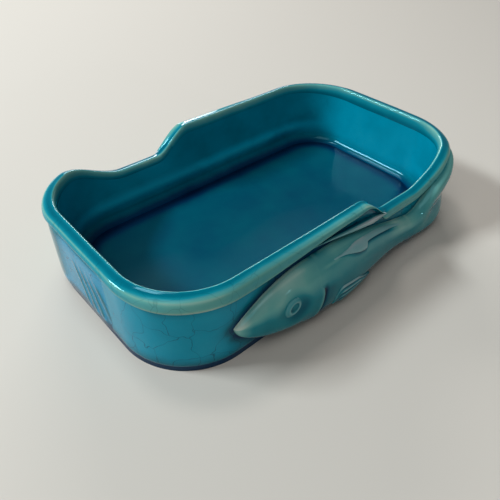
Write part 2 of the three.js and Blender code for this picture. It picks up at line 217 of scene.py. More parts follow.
class Bench:
    """Modelling steps that several pieces share."""

    @staticmethod
    def clear() -> None:
        """Deselect everything."""
        bpy.ops.object.select_all(action="DESELECT")

    @staticmethod
    def pick(piece: bpy.types.Object) -> None:
        """Make one piece the only selected one.

        Args:
            piece: the piece to work on.
        """
        Bench.clear()
        piece.select_set(True)
        bpy.context.view_layer.objects.active = piece

    @staticmethod
    def new_piece(name: str) -> bpy.types.Object:
        """Name the piece that was just added.

        Args:
            name: its name.

        Returns:
            The piece.
        """
        piece = bpy.context.object
        piece.name = name
        return piece

    @staticmethod
    def points(piece: bpy.types.Object) -> np.ndarray:
        """Read a piece's points.

        Args:
            piece: the mesh to read.

        Returns:
            The points in metres, one row each.
        """
        flat = np.empty(len(piece.data.vertices) * 3)
        piece.data.vertices.foreach_get("co", flat)
        return flat.reshape(-1, 3)

    @staticmethod
    def move_points(piece: bpy.types.Object, points: np.ndarray) -> None:
        """Put a piece's points in new places."""
        piece.data.vertices.foreach_set("co", np.ascontiguousarray(points).ravel())
        piece.data.update()

    @staticmethod
    def finish(piece: bpy.types.Object, crease: float = 40.0) -> None:
        """Merge doubles, close the ends, turn the faces out and smooth what isn't creased.

        Args:
            piece: the mesh to finish.
            crease: least angle, in degrees, of an edge that stays sharp.
        """
        Bench.pick(piece)
        bpy.ops.object.mode_set(mode="EDIT")
        bpy.ops.mesh.select_all(action="SELECT")
        bpy.ops.mesh.remove_doubles(threshold=HAIR * MM)
        bpy.ops.mesh.fill_holes(sides=0)
        bpy.ops.mesh.select_all(action="SELECT")
        bpy.ops.mesh.normals_make_consistent(inside=False)
        bpy.ops.object.mode_set(mode="OBJECT")
        if sum(face.area * face.center.dot(face.normal) for face in piece.data.polygons) < 0:
            bpy.ops.object.mode_set(mode="EDIT")
            bpy.ops.mesh.flip_normals()
            bpy.ops.object.mode_set(mode="OBJECT")
        bpy.ops.object.shade_smooth_by_angle(angle=math.radians(crease))

    @staticmethod
    def loft(name: str, rings: np.ndarray, glaze: np.ndarray, joined: bool = False) -> bpy.types.Object:
        """Lay a sheet over closed rings of points and close it into one body.

        Args:
            name: the piece's name.
            rings: places in metres, by ring and by point of the ring.
            glaze: how thick the glaze lies there before it settles.
            joined: whether the last ring goes on to the first.

        Returns:
            The closed piece.
        """
        count, size = rings.shape[:2]
        columns = count if joined else count - 1
        Bench.clear()
        bpy.ops.mesh.primitive_grid_add(x_subdivisions=columns, y_subdivisions=size, size=2.0)
        piece = Bench.new_piece(name)
        flat = Bench.points(piece)
        ring = np.rint((flat[:, 0] + 1) / 2 * columns).astype(int) % count
        point = np.rint((flat[:, 1] + 1) / 2 * size).astype(int) % size
        Bench.move_points(piece, rings[ring, point])
        Bench.mark(piece, np.broadcast_to(glaze, (count, size))[ring, point])
        Bench.finish(piece)
        return piece

    @staticmethod
    def mark(piece: bpy.types.Object, values: np.ndarray, name: str = GLAZE_MARK) -> None:
        """Keep a value for each of a piece's points, such as the glaze's thickness."""
        kept = piece.data.attributes.get(name) or piece.data.attributes.new(name, "FLOAT", "POINT")
        kept.data.foreach_set("value", np.ascontiguousarray(values, np.float32))

    @staticmethod
    def read_mark(piece: bpy.types.Object) -> np.ndarray:
        """Read the glaze's thickness at a piece's points.

        Args:
            piece: the mesh to read.

        Returns:
            The thickness at each point.
        """
        glaze = np.empty(len(piece.data.vertices), np.float32)
        piece.data.attributes[GLAZE_MARK].data.foreach_get("value", glaze)
        return glaze.astype(float)

    @staticmethod
    def half_turn_copy(piece: bpy.types.Object, name: str) -> bpy.types.Object:
        """Copy a piece to the other side of the dish, half a turn about the upright axis.

        Args:
            piece: the piece to copy.
            name: the copy's name.

        Returns:
            The copy, with its own mesh.
        """
        Bench.pick(piece)
        bpy.ops.object.duplicate()
        copy = Bench.new_piece(name)
        bpy.ops.transform.rotate(value=math.pi, orient_axis="Z", center_override=(0.0, 0.0, 0.0))
        bpy.ops.object.transform_apply(location=True, rotation=True, scale=True)
        return copy


@dataclass(frozen=True)
class Glaze:
    """A glaze over clay: pale where it is thin, dark where it pools."""

    name: str
    slot: Slot
    shades: tuple[tuple[float, Shade], ...]
    roughness: float = 0.07
    gloss: float = 0.22
    gloss_tint: tuple[float, ...] = (0.32, 0.86, 1.0, 1.0)
    glass_index: float = 1.5
    cloud: float = 0.08
    cloud_scale: float = 90.0
    cloud_detail: float = 4.0
    crackle: float = 0.95
    crack_tint: tuple[float, ...] = (0.3, 0.38, 0.42, 1.0)
    crack_scale: float = 115.0
    crack_width: float = 0.016
    sway: float = 0.008
    sway_scale: float = 130.0
    ripple_scale: float = 140.0
    ripple_strength: float = 0.08
    ripple_depth: float = 0.0006

    def paint(self) -> bpy.types.Material:
        """Make the material, which reads from each piece its glaze value: thickness, with painted light and
        shade in places.

        Returns:
            The material.
        """
        material = bpy.data.materials.new(f"{self.name}_glaze")
        material.use_nodes = True
        tree = material.node_tree
        shader = tree.nodes["Principled BSDF"]
        shader.inputs["Roughness"].default_value = self.roughness
        shader.inputs["IOR"].default_value = self.glass_index
        shader.inputs["Specular IOR Level"].default_value = self.gloss
        shader.inputs["Specular Tint"].default_value = self.gloss_tint
        place = add_node(tree, "TexCoord").outputs["Object"]
        layers = {"Factor": self.cracks(tree, place), "A": self.colour(tree, place), "B": self.crack_tint}
        crazed = add_node(tree, "Mix", layers, data_type="RGBA", blend_type="MULTIPLY")
        tree.links.new(crazed.outputs["Result"], shader.inputs["Base Color"])
        tree.links.new(self.ripple(tree, place), shader.inputs["Normal"])
        return material

    def colour(self, tree: bpy.types.NodeTree, place: bpy.types.NodeSocket) -> bpy.types.NodeSocket:
        """Pick the colour by the glaze value, thickness with painted light and shade in places, and add faint
        clouds.

        Args:
            tree: the material's nodes.
            place: where on the piece a point is.

        Returns:
            The colour at each point.
        """
        thickness = add_node(tree, "Attribute", attribute_name=GLAZE_MARK).outputs["Fac"]
        noise = {"Vector": place, "Scale": self.cloud_scale, "Detail": self.cloud_detail}
        clouds = add_node(tree, "TexNoise", noise).outputs["Fac"]
        span = {"Value": clouds, "To Min": -self.cloud, "To Max": self.cloud}
        spread = add_node(tree, "MapRange", span).outputs["Result"]
        clouded = add_node(tree, "Math", {0: thickness, 1: spread}, operation="ADD").outputs["Value"]
        ramp = add_node(tree, "ValToRGB", {"Fac": clouded})
        first, last = ramp.color_ramp.elements
        first.position, first.color = self.shades[0][0], linear(self.shades[0][1])
        last.position, last.color = self.shades[-1][0], linear(self.shades[-1][1])
        for share, shade in self.shades[1:-1]:
            ramp.color_ramp.elements.new(share).color = linear(shade)
        return ramp.outputs["Color"]

    def cracks(self, tree: bpy.types.NodeTree, place: bpy.types.NodeSocket) -> bpy.types.NodeSocket:
        """Draw the fine net of wavy cracks, which shows on the outside of the dish.

        Args:
            tree: the material's nodes.
            place: where on the piece a point is.

        Returns:
            The strength of a crack at each point.
        """
        waver = add_node(tree, "TexNoise", {"Vector": place, "Scale": self.sway_scale}).outputs["Color"]
        moved = {0: waver, 1: (self.sway,) * 3, 2: place}
        swayed = add_node(tree, "VectorMath", moved, operation="MULTIPLY_ADD").outputs["Vector"]
        net = {"Vector": swayed, "Scale": self.crack_scale}
        cells = add_node(tree, "TexVoronoi", net, feature="DISTANCE_TO_EDGE").outputs["Distance"]
        span = {"Value": cells, "From Max": self.crack_width, "To Min": self.crackle, "To Max": 0.0}
        line = add_node(tree, "MapRange", span).outputs["Result"]
        shown = add_node(tree, "Attribute", attribute_name=CRACK_MARK).outputs["Fac"]
        return add_node(tree, "Math", {0: line, 1: shown}, operation="MULTIPLY").outputs["Value"]

    def ripple(self, tree: bpy.types.NodeTree, place: bpy.types.NodeSocket) -> bpy.types.NodeSocket:
        """Let the glaze lie in a very slight ripple.

        Args:
            tree: the material's nodes.
            place: where on the piece a point is.

        Returns:
            The way that the rippled surface faces.
        """
        waves = add_node(tree, "TexNoise", {"Vector": place, "Scale": self.ripple_scale}).outputs["Fac"]
        bump = {"Height": waves, "Strength": self.ripple_strength, "Distance": self.ripple_depth}
        return add_node(tree, "Bump", bump).outputs["Normal"]


@dataclass
class Wall:
    """Outline and height of the wall, on which everything else is placed."""

    length: float
    width: float
    corner: float = 23.5
    rim_height: float = 30.0
    dip_depth: float = 8.5
    dip_start: float = 19.6
    dip_end: float = 33.0
    steep_run: float = 15.0
    easy_run: float = 24.0
    waver: float = 0.14
    waves: tuple[tuple[float, int, float], ...] = ((0.3, 3, 0.6), (0.2, 7, 2.1))
    rim_waves_shift: float = 31.0
    share_ahead: float = 0.36

    def __post_init__(self) -> None:
        """Work out the straight stretches and the way round."""
        self.straight_x = self.length / 2 - self.corner
        self.straight_y = self.width / 2 - self.corner
        self.quarter = self.corner * math.pi / 2
        self.half_round = 2 * (self.straight_x + self.straight_y + self.quarter)

    def wave(self, along: np.ndarray) -> np.ndarray:
        """Slight unevenness of hand work, from nothing to one, the same on both halves."""
        turn = 2 * math.pi * along / self.half_round
        return 0.5 + sum(size * np.sin(count * turn + shift) for size, count, shift in self.waves)

    def facing(self, along: np.ndarray) -> tuple[np.ndarray, np.ndarray, np.ndarray, np.ndarray]:
        """Find the corner centre that a place on the wall turns about, and which way it faces.

        Args:
            along: distances along the wall.

        Returns:
            Side of the dish as 1 or -1, and for the front half the centre in X and Y and the angle of facing.
        """
        halves = np.floor((along + self.straight_x) / self.half_round)
        side = np.where(halves % 2 == 0, 1.0, -1.0)
        rest = along + self.straight_x - halves * self.half_round
        x = np.minimum(rest, 2 * self.straight_x) - self.straight_x
        rest = np.maximum(rest - 2 * self.straight_x, 0.0)
        angle = -math.pi / 2 + np.minimum(rest, self.quarter) / self.corner
        rest = np.maximum(rest - self.quarter, 0.0)
        y = np.minimum(rest, 2 * self.straight_y) - self.straight_y
        rest = np.maximum(rest - 2 * self.straight_y, 0.0)
        return side, x, y, angle + rest / self.corner

    def place(self, along: np.ndarray, out: np.ndarray, up: np.ndarray) -> np.ndarray:
        """Turn places on the wall into points in metres.

        Args:
            along: distances along the wall.
            out: distances out from the wall's outside.
            up: heights above the table.

        Returns:
            The points, with their three coordinates last.
        """
        along, out, up = np.broadcast_arrays(along, out, up)
        side, x, y, angle = self.facing(along)
        reach = self.corner + out - self.waver * self.wave(along)
        x = side * (x + reach * np.cos(angle))
        y = side * (y + reach * np.sin(angle))
        return MM * np.stack([x, y, up], -1)

    def past_straights(self, points: np.ndarray) -> np.ndarray:
        """Measure how far points in metres lie past the ends of the straight stretches, in X and in Y."""
        return np.abs(points[:, :2] / MM) - np.array([self.straight_x, self.straight_y])

    def stand_out(self, points: np.ndarray) -> np.ndarray:
        """Measure how far points in metres stand out from the wall's outside."""
        past = self.past_straights(points)
        return np.hypot(*np.maximum(past, 0.0).T) + np.minimum(past.max(1), 0.0) - self.corner

    def endwise(self, along: np.ndarray) -> np.ndarray:
        """Share by which a place faces an end of the dish rather than a long side."""
        return np.cos(self.facing(along)[3]) ** 2

    def endwise_at(self, points: np.ndarray) -> np.ndarray:
        """Share by which the wall nearest to points in metres faces an end of the dish."""
        toward = np.maximum(self.past_straights(points), HAIR) ** 2
        return toward[:, 0] / toward.sum(1)

    def from_front(self, along: np.ndarray) -> np.ndarray:
        """Bring distances on both halves of the wall to the stretch that starts before the front snout."""
        start = -self.half_round * self.share_ahead
        return np.mod(along - start, self.half_round) + start

    def dip(self, along: np.ndarray) -> np.ndarray:
        """Share of the finger dip's depth at a place.

        Args:
            along: distances along the wall.

        Returns:
            The shares, from nothing to one.
        """
        into = np.mod(along + self.straight_x, self.half_round) - self.straight_x
        fall = Rise(self.dip_start - self.steep_run, self.dip_start).at(into)
        return fall - Rise(self.dip_end, self.dip_end + self.easy_run).at(into)

    def rim(self, along: np.ndarray) -> np.ndarray:
        """Height of the rim's crest."""
        uneven = self.waver * self.wave(along + self.rim_waves_shift)
        return self.rim_height - self.dip_depth * self.dip(along) - uneven


@dataclass
class RimRoll:
    """Roll of clay along the top of the wall, from one dip round an end to the beak at the other dip.

    Of two values for the glaze, the first is for the sides and the second for the end.
    """

    wall: Wall
    beak: float = 17.4
    beak_run: float = 6.0
    beak_bluntness: Pair = (1.8, 0.75)
    beak_out: float = 0.9
    beak_below: float = 0.9
    buried: float = 9.0
    buried_size: float = 0.9
    buried_lip: float = 0.2
    comes_out: Rise = Rise(-3.5, 1.5)
    core: Pair = (-1.0, -2.6)
    dip_height: float = 0.7
    dip_proud: float = 0.6
    spacing: float = 0.6
    outline: tuple[Pair, ...] = (
        (-2.2, -5.9), (-2.95, -4.9), (-3.08, -3.6), (-3.02, -2.0), (-2.78, -0.75), (-2.2, -0.05),
        (-1.3, -0.15), (-0.3, -0.5), (0.6, -1.05), (1.15, -1.8), (1.42, -2.9), (1.48, -3.9), (1.3, -4.7),
        (0.6, -5.0), (-0.3, -5.3), (-1.2, -5.8),
    )
    outline_steps: int = 6
    outer_from: float = -0.5
    outer_half: Rise = Rise(-1.5, 0.2)
    front_lip: float = 0.46
    front_lip_run: Rise = Rise(-42.0, -2.0)
    beak_lip: float = 0.3
    beak_lip_run: Rise = Rise(0.0, 11.0)
    end_lip: float = 0.5
    end: Stretch = Stretch(64.0, 90.0, 112.0, 130.0)

    top_glaze: float = 0.54
    lip_glaze: Pair = (0.28, 0.4)
    lip_run: Rise = Rise(-1.0, 0.9)
    front_shift: float = 0.8
    front_shift_run: Rise = Rise(-75.0, -35.0)
    # Painted highlight: a pale line along the roll's outer shoulder.
    shoulder_highlight: Hump = Hump(0.85, 0.28)
    shoulder_highlight_strength: Pair = (0.06, 0.2)
    shoulder_highlight_low: float = -2.2
    inner_glaze: Pair = (0.24, 0.36)
    inner_low_glaze: float = 0.56
    inner_run: Rise = Rise(0.8, 4.6)
    inner_to_top: Rise = Rise(-2.7, -1.9)
    crest_at: float = -2.25
    crest_width: Pair = (0.35, 0.6)
    crest_thins: Pair = (0.16, 0.2)
    crest_low: float = -1.0
    under_edge: Hump = Hump(-4.3, 0.5)
    under_edge_thins: float = 0.08
    under_edge_from: float = 0.5

    def build(self) -> bpy.types.Object:
        """Lay the front roll.

        Returns:
            The roll.
        """
        start = self.beak - self.wall.half_round - self.buried
        along = np.append(np.arange(start, self.beak, self.spacing), self.beak)[:, None]
        across, down = closed_curve(self.outline, self.outline_steps).T
        outs, ups = self.section(along, across, down)
        outer = self.outer_half.at(across)
        shown = self.comes_out.at(along - start - self.buried)
        outs = np.where(across > self.outer_from, blend(self.outer_from, outs, shown), outs)
        ups = ups * blend(blend(1.0, self.buried_lip, outer), 1.0, shown)
        grown = blend(self.buried_size, 1.0, Rise(start, start + self.buried).at(along))
        outs = blend(self.core[0], outs, grown)
        ups = blend(self.core[1], ups, grown)
        ending = np.clip((along - self.beak + self.beak_run) / self.beak_run, 0.0, 1.0)
        left = (1 - ending ** self.beak_bluntness[0]) ** self.beak_bluntness[1]
        outs = blend(self.beak_out, outs, left)
        ups = blend(-self.beak_below, ups, left)
        rings = self.wall.place(along, outs, self.wall.rim(along) + ups)
        return Bench.loft("glazed_front_rim_roll", rings, self.depth(along, across, down))

    def section(self, along: np.ndarray, across: np.ndarray,
                down: np.ndarray) -> tuple[np.ndarray, np.ndarray]:
        """Shape the roll's section: smaller in the dip, with a lip that narrows along the front and the end.

        Args:
            along: distances along the wall.
            across: places across the outline, from inside to outside.
            down: heights of the outline from the crest.

        Returns:
            The distances out and the heights from the crest, by place along and round the roll.
        """
        low = self.wall.dip(along) * Rise(0.0, self.spacing).at(-along)
        outs = np.where(across > 0, across * blend(1.0, self.dip_proud, low), across)
        lip = blend(1.0, self.front_lip, self.front_lip_run.at(along))
        lip = lip * blend(1.0, self.beak_lip, self.beak_lip_run.at(along))
        lip = lip * blend(1.0, self.end_lip, self.end.at(-along))
        ups = down * blend(1.0, self.dip_height, low)
        return outs, ups * blend(1.0, lip, self.outer_half.at(across))

    def depth(self, along: np.ndarray, across: np.ndarray, down: np.ndarray) -> np.ndarray:
        """Lay thin glaze on the crest and the outer face, and more on the top and the inner face, with a
        painted highlight line along the outer shoulder.

        Args:
            along: distances along the wall.
            across: places across the outline, from inside to outside.
            down: heights of the outline from the crest.

        Returns:
            The thickness, by place along and round the roll.
        """
        end = self.end.at(-along)
        shift = self.front_shift * self.front_shift_run.at(along)
        top = blend(self.top_glaze, blend(*self.lip_glaze, end), self.lip_run.at(across + shift))
        # Painted highlight along the outer shoulder.
        shoulder_highlight = self.shoulder_highlight.at(across) * (down > self.shoulder_highlight_low)
        top = top - blend(*self.shoulder_highlight_strength, end) * shoulder_highlight
        inner = blend(blend(*self.inner_glaze, end), self.inner_low_glaze, self.inner_run.at(-down))
        crest = Hump(self.crest_at, blend(*self.crest_width, end)).at(across) * (down > self.crest_low)
        under_edge = self.under_edge.at(down) * (across > self.under_edge_from)
        glaze = blend(inner, top, self.inner_to_top.at(across))
        return glaze - blend(*self.crest_thins, end) * crest - self.under_edge_thins * under_edge


@dataclass
class FishBody:
    """Body of the fish, on which its pieces are laid. Distances along it start at the snout."""

    wall: Wall
    snout: float = -47.0
    length: float = 78.0
    girth_at: float = 35.0
    depth: float = 22.2
    stem_depth: float = 10.5
    least_half: float = 0.01
    bulge: float = 7.0
    stem_bulge: float = 4.0
    level: float = 12.0
    snout_level: float = 13.0
    stem_level: float = 8.0
    snout_roundness: float = 0.46
    snout_slope: float = 0.85
    back_full_at: float = 26.0
    back_fullness: float = 2.1
    belly_fullness: float = 3.4
    rooted: float = 0.9
    gill_at: float = 29.4
    gill_sweep: float = 2.6
    gill_sweep_power: float = 2.2
    gill_sweep_from: float = 12.0
    gill_sweep_run: float = 8.5
    gill_sweep_most: float = 1.2
    gill_fades: Rise = Rise(12.5, 16.5)
    eye_at: float = 18.1
    eye_level: float = 13.2
    flank_points: int = 84
    fine_points: int = 600

    coat: float = 0.45
    back_side: Rise = Rise(0.05, 0.6)
    # Paler glaze on the upper head and trunk is painted light from above; the stem's glaze is thin and the
    # belly is darker.
    head_painted_light: float = 0.23
    trunk_painted_light: float = 0.08
    head_to_trunk: Rise = Rise(14.0, 44.0)
    stem_thins: float = 0.18
    stem: Stretch = Stretch(61.0, 72.0, 80.0, 92.0)
    belly_side: Rise = Rise(0.25, 0.9)
    belly_darkens: float = 0.08

    def section(self, distance: np.ndarray) -> tuple[np.ndarray, np.ndarray, np.ndarray, np.ndarray]:
        """Measure the body at distances from the snout.

        Args:
            distance: distances from the snout.

        Returns:
            The depth above the middle and below it, the middle's height and the bulge from the wall.
        """
        ahead = np.clip(distance / self.girth_at, 0.0, 1.0)
        behind = np.clip((distance - self.girth_at) / (self.length - self.girth_at), 0.0, 1.0)
        swell = np.sin(math.pi / 2 * ahead) ** self.snout_roundness
        rise = np.sin(math.pi / 2 * np.clip(distance / self.back_full_at, 0.0, 1.0)) ** self.snout_slope
        shrink = np.sin(math.pi / 2 * behind) ** 2
        back = blend(self.depth * rise, self.stem_depth, shrink) / 2
        belly = blend(self.depth * swell, self.stem_depth, shrink) / 2
        level = blend(self.level, self.snout_level, (1 - ahead) ** 2)
        level = blend(level, self.stem_level, behind**2)
        return back, belly, level, blend(self.bulge * swell, self.stem_bulge, shrink)

    def up_at(self, distance: np.ndarray, height: np.ndarray) -> np.ndarray:
        """Height above the table, for a height from the belly, at -1, to the back, at 1."""
        back, belly, level, _ = self.section(distance)
        return level + np.where(height > 0, back, belly) * height

    def share(self, height: np.ndarray) -> np.ndarray:
        """Share of the bulge at heights from the belly, at -1, to the back, at 1."""
        fullness = np.where(height > 0, self.back_fullness, self.belly_fullness)
        return np.maximum(1 - np.minimum(np.abs(height), 1.0) ** fullness, 0.0) ** (1 / fullness)

    def flank(self, distance: np.ndarray, up: np.ndarray) -> np.ndarray:
        """Measure how far the body's side stands out.

        Args:
            distance: distances from the snout.
            up: heights above the table.

        Returns:
            The distances out from the wall.
        """
        back, belly, level, bulge = self.section(distance)
        half = np.where(up > level, back, belly)
        return bulge * self.share((up - level) / np.maximum(half, self.least_half))

    def heights(self) -> np.ndarray:
        """Space heights evenly over the bulging surface.

        Returns:
            One row of heights, from the back, at 1, to the belly, at -1.
        """
        fine = np.cos(np.linspace(0.0, math.pi, self.fine_points))
        steps = np.hypot(np.diff(fine) * self.depth / 2, np.diff(self.share(fine)) * self.bulge)
        walked = np.concatenate([[0.0], np.cumsum(steps)])
        return np.interp(np.linspace(0.0, walked[-1], self.flank_points), walked, fine)[None, :]

    def glaze(self, distance: np.ndarray, height: np.ndarray) -> np.ndarray:
        """Paint light from above as paler glaze on the upper head and the back, lay thin glaze on the stem,
        and darken towards the belly.

        Args:
            distance: distances from the snout.
            height: heights from the belly, at -1, to the back, at 1.

        Returns:
            The glaze value, with painted light on the upper side and darker towards the belly.
        """
        # Painted light: the upper head and back are paler, as if lit from above.
        thins = blend(self.head_painted_light, self.trunk_painted_light, self.head_to_trunk.at(distance))
        thins = thins + self.stem_thins * self.stem.at(distance)
        thickens = self.belly_darkens * self.belly_side.at(-height)
        return self.coat - thins * self.back_side.at(height) + thickens

    def gill_edge(self, up: np.ndarray) -> np.ndarray:
        """Distance from the snout of the gill cover's edge, which sweeps forward under the belly."""
        share = np.clip((self.gill_sweep_from - up) / self.gill_sweep_run, 0.0, self.gill_sweep_most)
        return self.gill_at - self.gill_sweep * share**self.gill_sweep_power

    def gill_mark(self, up: np.ndarray) -> np.ndarray:
        """Strength of the gill cover's lip, which fades out towards the back."""
        return 1 - self.gill_fades.at(up)

    def lay(self, name: str, distance: np.ndarray, outs: np.ndarray, ups: np.ndarray,
            glaze: np.ndarray) -> bpy.types.Object:
        """Model a piece from half sections, closed behind the face of the wall.

        Args:
            name: the piece's name.
            distance: distances from the snout, by ring and point.
            outs: distances out from the wall.
            ups: heights.
            glaze: how thick the glaze lies.

        Returns:
            The closed piece.
        """
        last_first = [-1, 0]
        distance = np.concatenate([distance, distance[:, last_first]], 1)
        ups = np.concatenate([ups, ups[:, last_first]], 1)
        glaze = np.concatenate([glaze, glaze[:, last_first]], 1)
        outs = np.concatenate([outs, np.full_like(outs[:, :2], -self.rooted)], 1)
        return Bench.loft(name, self.wall.place(self.snout + distance, outs, ups), glaze)

    def plate(self, name: str, distance: np.ndarray, ups: np.ndarray, face: np.ndarray, seat: np.ndarray,
              glaze: np.ndarray) -> bpy.types.Object:
        """Model a thin plate from its face and the seat behind it.

        Args:
            name: the piece's name.
            distance: distances from the snout, by ring and point.
            ups: heights of the face, from the upper edge down.
            face: distances of the face out from the wall.
            seat: distances of the back out from the wall.
            glaze: how thick the glaze lies on the face.

        Returns:
            The closed plate.
        """
        along = self.snout + np.concatenate([distance, distance[:, ::-1]], 1)
        outs = np.concatenate([face, seat[:, ::-1]], 1)
        ups = np.concatenate([ups, ups[:, ::-1]], 1)
        glaze = np.broadcast_to(glaze, face.shape)
        glaze = np.concatenate([glaze, glaze[:, ::-1]], 1)
        return Bench.loft(name, self.wall.place(along, outs, ups), glaze)


@dataclass
class Head:
    """Head of the fish, with a hollow round the eye and the gill cover's raised edge."""

    body: FishBody
    rings: int = 110
    crowding: float = 1.2
    socket: Hump = Hump(0.0, 4.6)
    socket_depth: float = 0.65
    brow: Hump = Hump(6.5, 2.0)
    brow_rise: float = 0.2
    lip_rise: float = 0.45
    lip_run: Rise = Rise(0.0, 7.0)
    lip_drop: float = 0.52
    lip_rounding: float = 0.6
    tuck: float = 0.3
    tuck_run: Rise = Rise(0.0, 1.6)

    snout_thins: float = 0.22
    snout_run: Rise = Rise(0.5, 5.0)
    socket_ring: Hump = Hump(3.6, 2.2)
    socket_thickens: float = 0.18
    socket_back: Rise = Rise(13.0, 20.0)
    lip_line: Hump = Hump(0.5, 0.8)
    lip_thins: float = 0.2

    def build(self) -> bpy.types.Object:
        """Model the head.

        Returns:
            The front fish's head.
        """
        body = self.body
        share = np.linspace(0.0, 1.0, self.rings)[:, None] ** self.crowding
        height = body.heights()
        ups = body.up_at(share * body.gill_at, height)
        distance = share * body.gill_edge(ups)
        from_eye = np.hypot(distance - body.eye_at, ups - body.eye_level)
        outs = body.flank(distance, ups)
        outs = outs - self.socket_depth * self.socket.at(from_eye) + self.brow_rise * self.brow.at(from_eye)
        edge = body.gill_edge(ups) - distance
        marked = body.gill_mark(ups)
        lip = self.lip_rise * marked * (1 - self.lip_run.at(edge))
        tuck = self.tuck * (1 - marked) * (1 - self.tuck_run.at(edge))
        outs = outs + blend(-self.lip_drop * marked, lip, rounding(edge / self.lip_rounding)) - tuck
        glaze = body.glaze(distance, height) - self.snout_thins * (1 - self.snout_run.at(distance))
        ring = self.socket_ring.at(from_eye) * self.socket_back.at(distance)
        glaze = glaze + self.socket_thickens * ring - self.lip_thins * marked * self.lip_line.at(edge)
        return body.lay("glazed_front_fish_head", distance, np.maximum(outs, 0.0), ups, glaze)


@dataclass
class Eye:
    """Eye of the fish: a button whose rounded ring stands round a hollow pupil."""

    body: FishBody
    radius: float = 3.6
    sides: int = 56
    thickness: float = 1.6
    seated: float = 0.72
    crease: float = 60.0
    steps: tuple[Pair, ...] = (
        (0.4, 0.16), (0.4, 0.17), (0.35, 0.16), (0.3, 0.07), (0.25, -0.03), (0.2, -0.14), (0.2, -0.24),
        (0.15, -0.2), (0.4, -0.12),
    )
    coat: float = 0.5
    ring: Hump = Hump(1.9, 0.5)
    ring_thins: float = 0.14
    pupil: Rise = Rise(0.9, 1.5)
    pupil_thickens: float = 0.32

    def build(self) -> bpy.types.Object:
        """Turn the button and set it in its socket.

        Returns:
            The front fish's eye.
        """
        Bench.clear()
        bpy.ops.mesh.primitive_circle_add(vertices=self.sides, radius=self.radius * MM, fill_type="NGON")
        eye = Bench.new_piece("glazed_front_fish_eye")
        bpy.ops.object.mode_set(mode="EDIT")
        bpy.ops.mesh.select_all(action="SELECT")
        bpy.ops.mesh.extrude_region_move(TRANSFORM_OT_translate={"value": (0.0, 0.0, self.thickness * MM)})
        for inwards, rise in self.steps:
            bpy.ops.mesh.inset(thickness=inwards * MM, depth=0.0)
            bpy.ops.transform.translate(value=(0.0, 0.0, rise * MM))
        bpy.ops.mesh.select_all(action="SELECT")
        bpy.ops.mesh.normals_make_consistent(inside=False)
        bpy.ops.object.mode_set(mode="OBJECT")
        reach = np.hypot(*Bench.points(eye)[:, :2].T) / MM
        pupil = self.pupil_thickens * (1 - self.pupil.at(reach))
        Bench.mark(eye, self.coat - self.ring_thins * self.ring.at(reach) + pupil)
        level = np.array(self.body.eye_level)
        seat = self.body.flank(np.array(self.body.eye_at), level) - self.thickness - self.seated
        place = self.body.wall.place(np.array(self.body.snout + self.body.eye_at), seat, level)
        eye.data.transform(Matrix.Translation(place.tolist()) @ Matrix.Rotation(math.pi / 2, 4, "X"))
        Bench.finish(eye, self.crease)
        return eye


@dataclass
class BellyFin:
    """Fin behind the gill cover that hangs beside the belly, with raised rays along it."""

    body: FishBody
    start: float = 35.0
    end: float = 55.0
    rings: int = 64
    rows: int = 40
    root_run: float = 0.22
    tip_run: float = 0.4
    root_span: Pair = (3.6, 4.0)
    top: float = 10.3
    top_falls: Slope = Slope(0.0, 1.0, 1.3)
    top_fall: float = 4.6
    low: float = 1.6
    low_rises: Slope = Slope(0.0, 1.0, 3.0)
    low_rise: float = 2.0
    tip_span: float = 0.3
    hang: float = 5.4
    hang_in: float = 1.6
    seat_above: float = 0.4
    seat_depth: float = 0.5
    back_depth: float = 0.6
    thickness: float = 0.5
    tip_thickness: float = 0.5
    edge_fullness: float = 5.0
    ray_count: int = 4
    ray_strength: float = 0.34
    ray_rise: float = 1.3
    ray_run: Rise = Rise(0.03, 0.2)

    coat: float = 0.62
    rays_thin: float = 0.95
    root_thins: float = 0.12
    root_glaze_run: Rise = Rise(0.0, 0.12)

    def build(self) -> bpy.types.Object:
        """Model the belly fin.

        Returns:
            The front fish's belly fin.
        """
        rest = np.linspace(0.0, 1.0, self.rings)[:, None]
        row = np.linspace(1.0, 0.0, self.rows)[None, :]
        distance = blend(self.start, self.end, rest)
        rounded = rounding(rest / self.root_run)
        tapered = tapering((1 - rest) / self.tip_run)
        low = blend(self.root_span[0], self.low + self.low_rise * self.low_rises.at(rest), rounded)
        top = blend(self.root_span[1], self.top - self.top_fall * self.top_falls.at(rest), rounded)
        top = blend(low + self.tip_span, top, tapered)
        ups = blend(low, top, row)
        hang = blend(self.hang - self.hang_in * rest**2, self.body.flank(distance, top), row)
        seat = np.maximum(self.body.flank(distance, ups + self.seat_above), hang) - self.seat_depth
        edge = tapering(1 - np.abs(2 * row - 1) ** self.edge_fullness) * rounded
        edge = edge * blend(self.tip_thickness, 1.0, tapered)
        rays = self.ray_strength * np.cos(math.pi * self.ray_count * row) ** 2 * self.ray_run.at(rest)
        face = seat + self.seat_depth + edge * (self.thickness + self.ray_rise * rays)
        glaze = self.coat - self.rays_thin * rays - self.root_thins * (1 - self.root_glaze_run.at(rest))
        back = seat - self.back_depth
        return self.body.plate("glazed_front_fish_belly_fin", distance + 0 * row, ups, face, back, glaze)


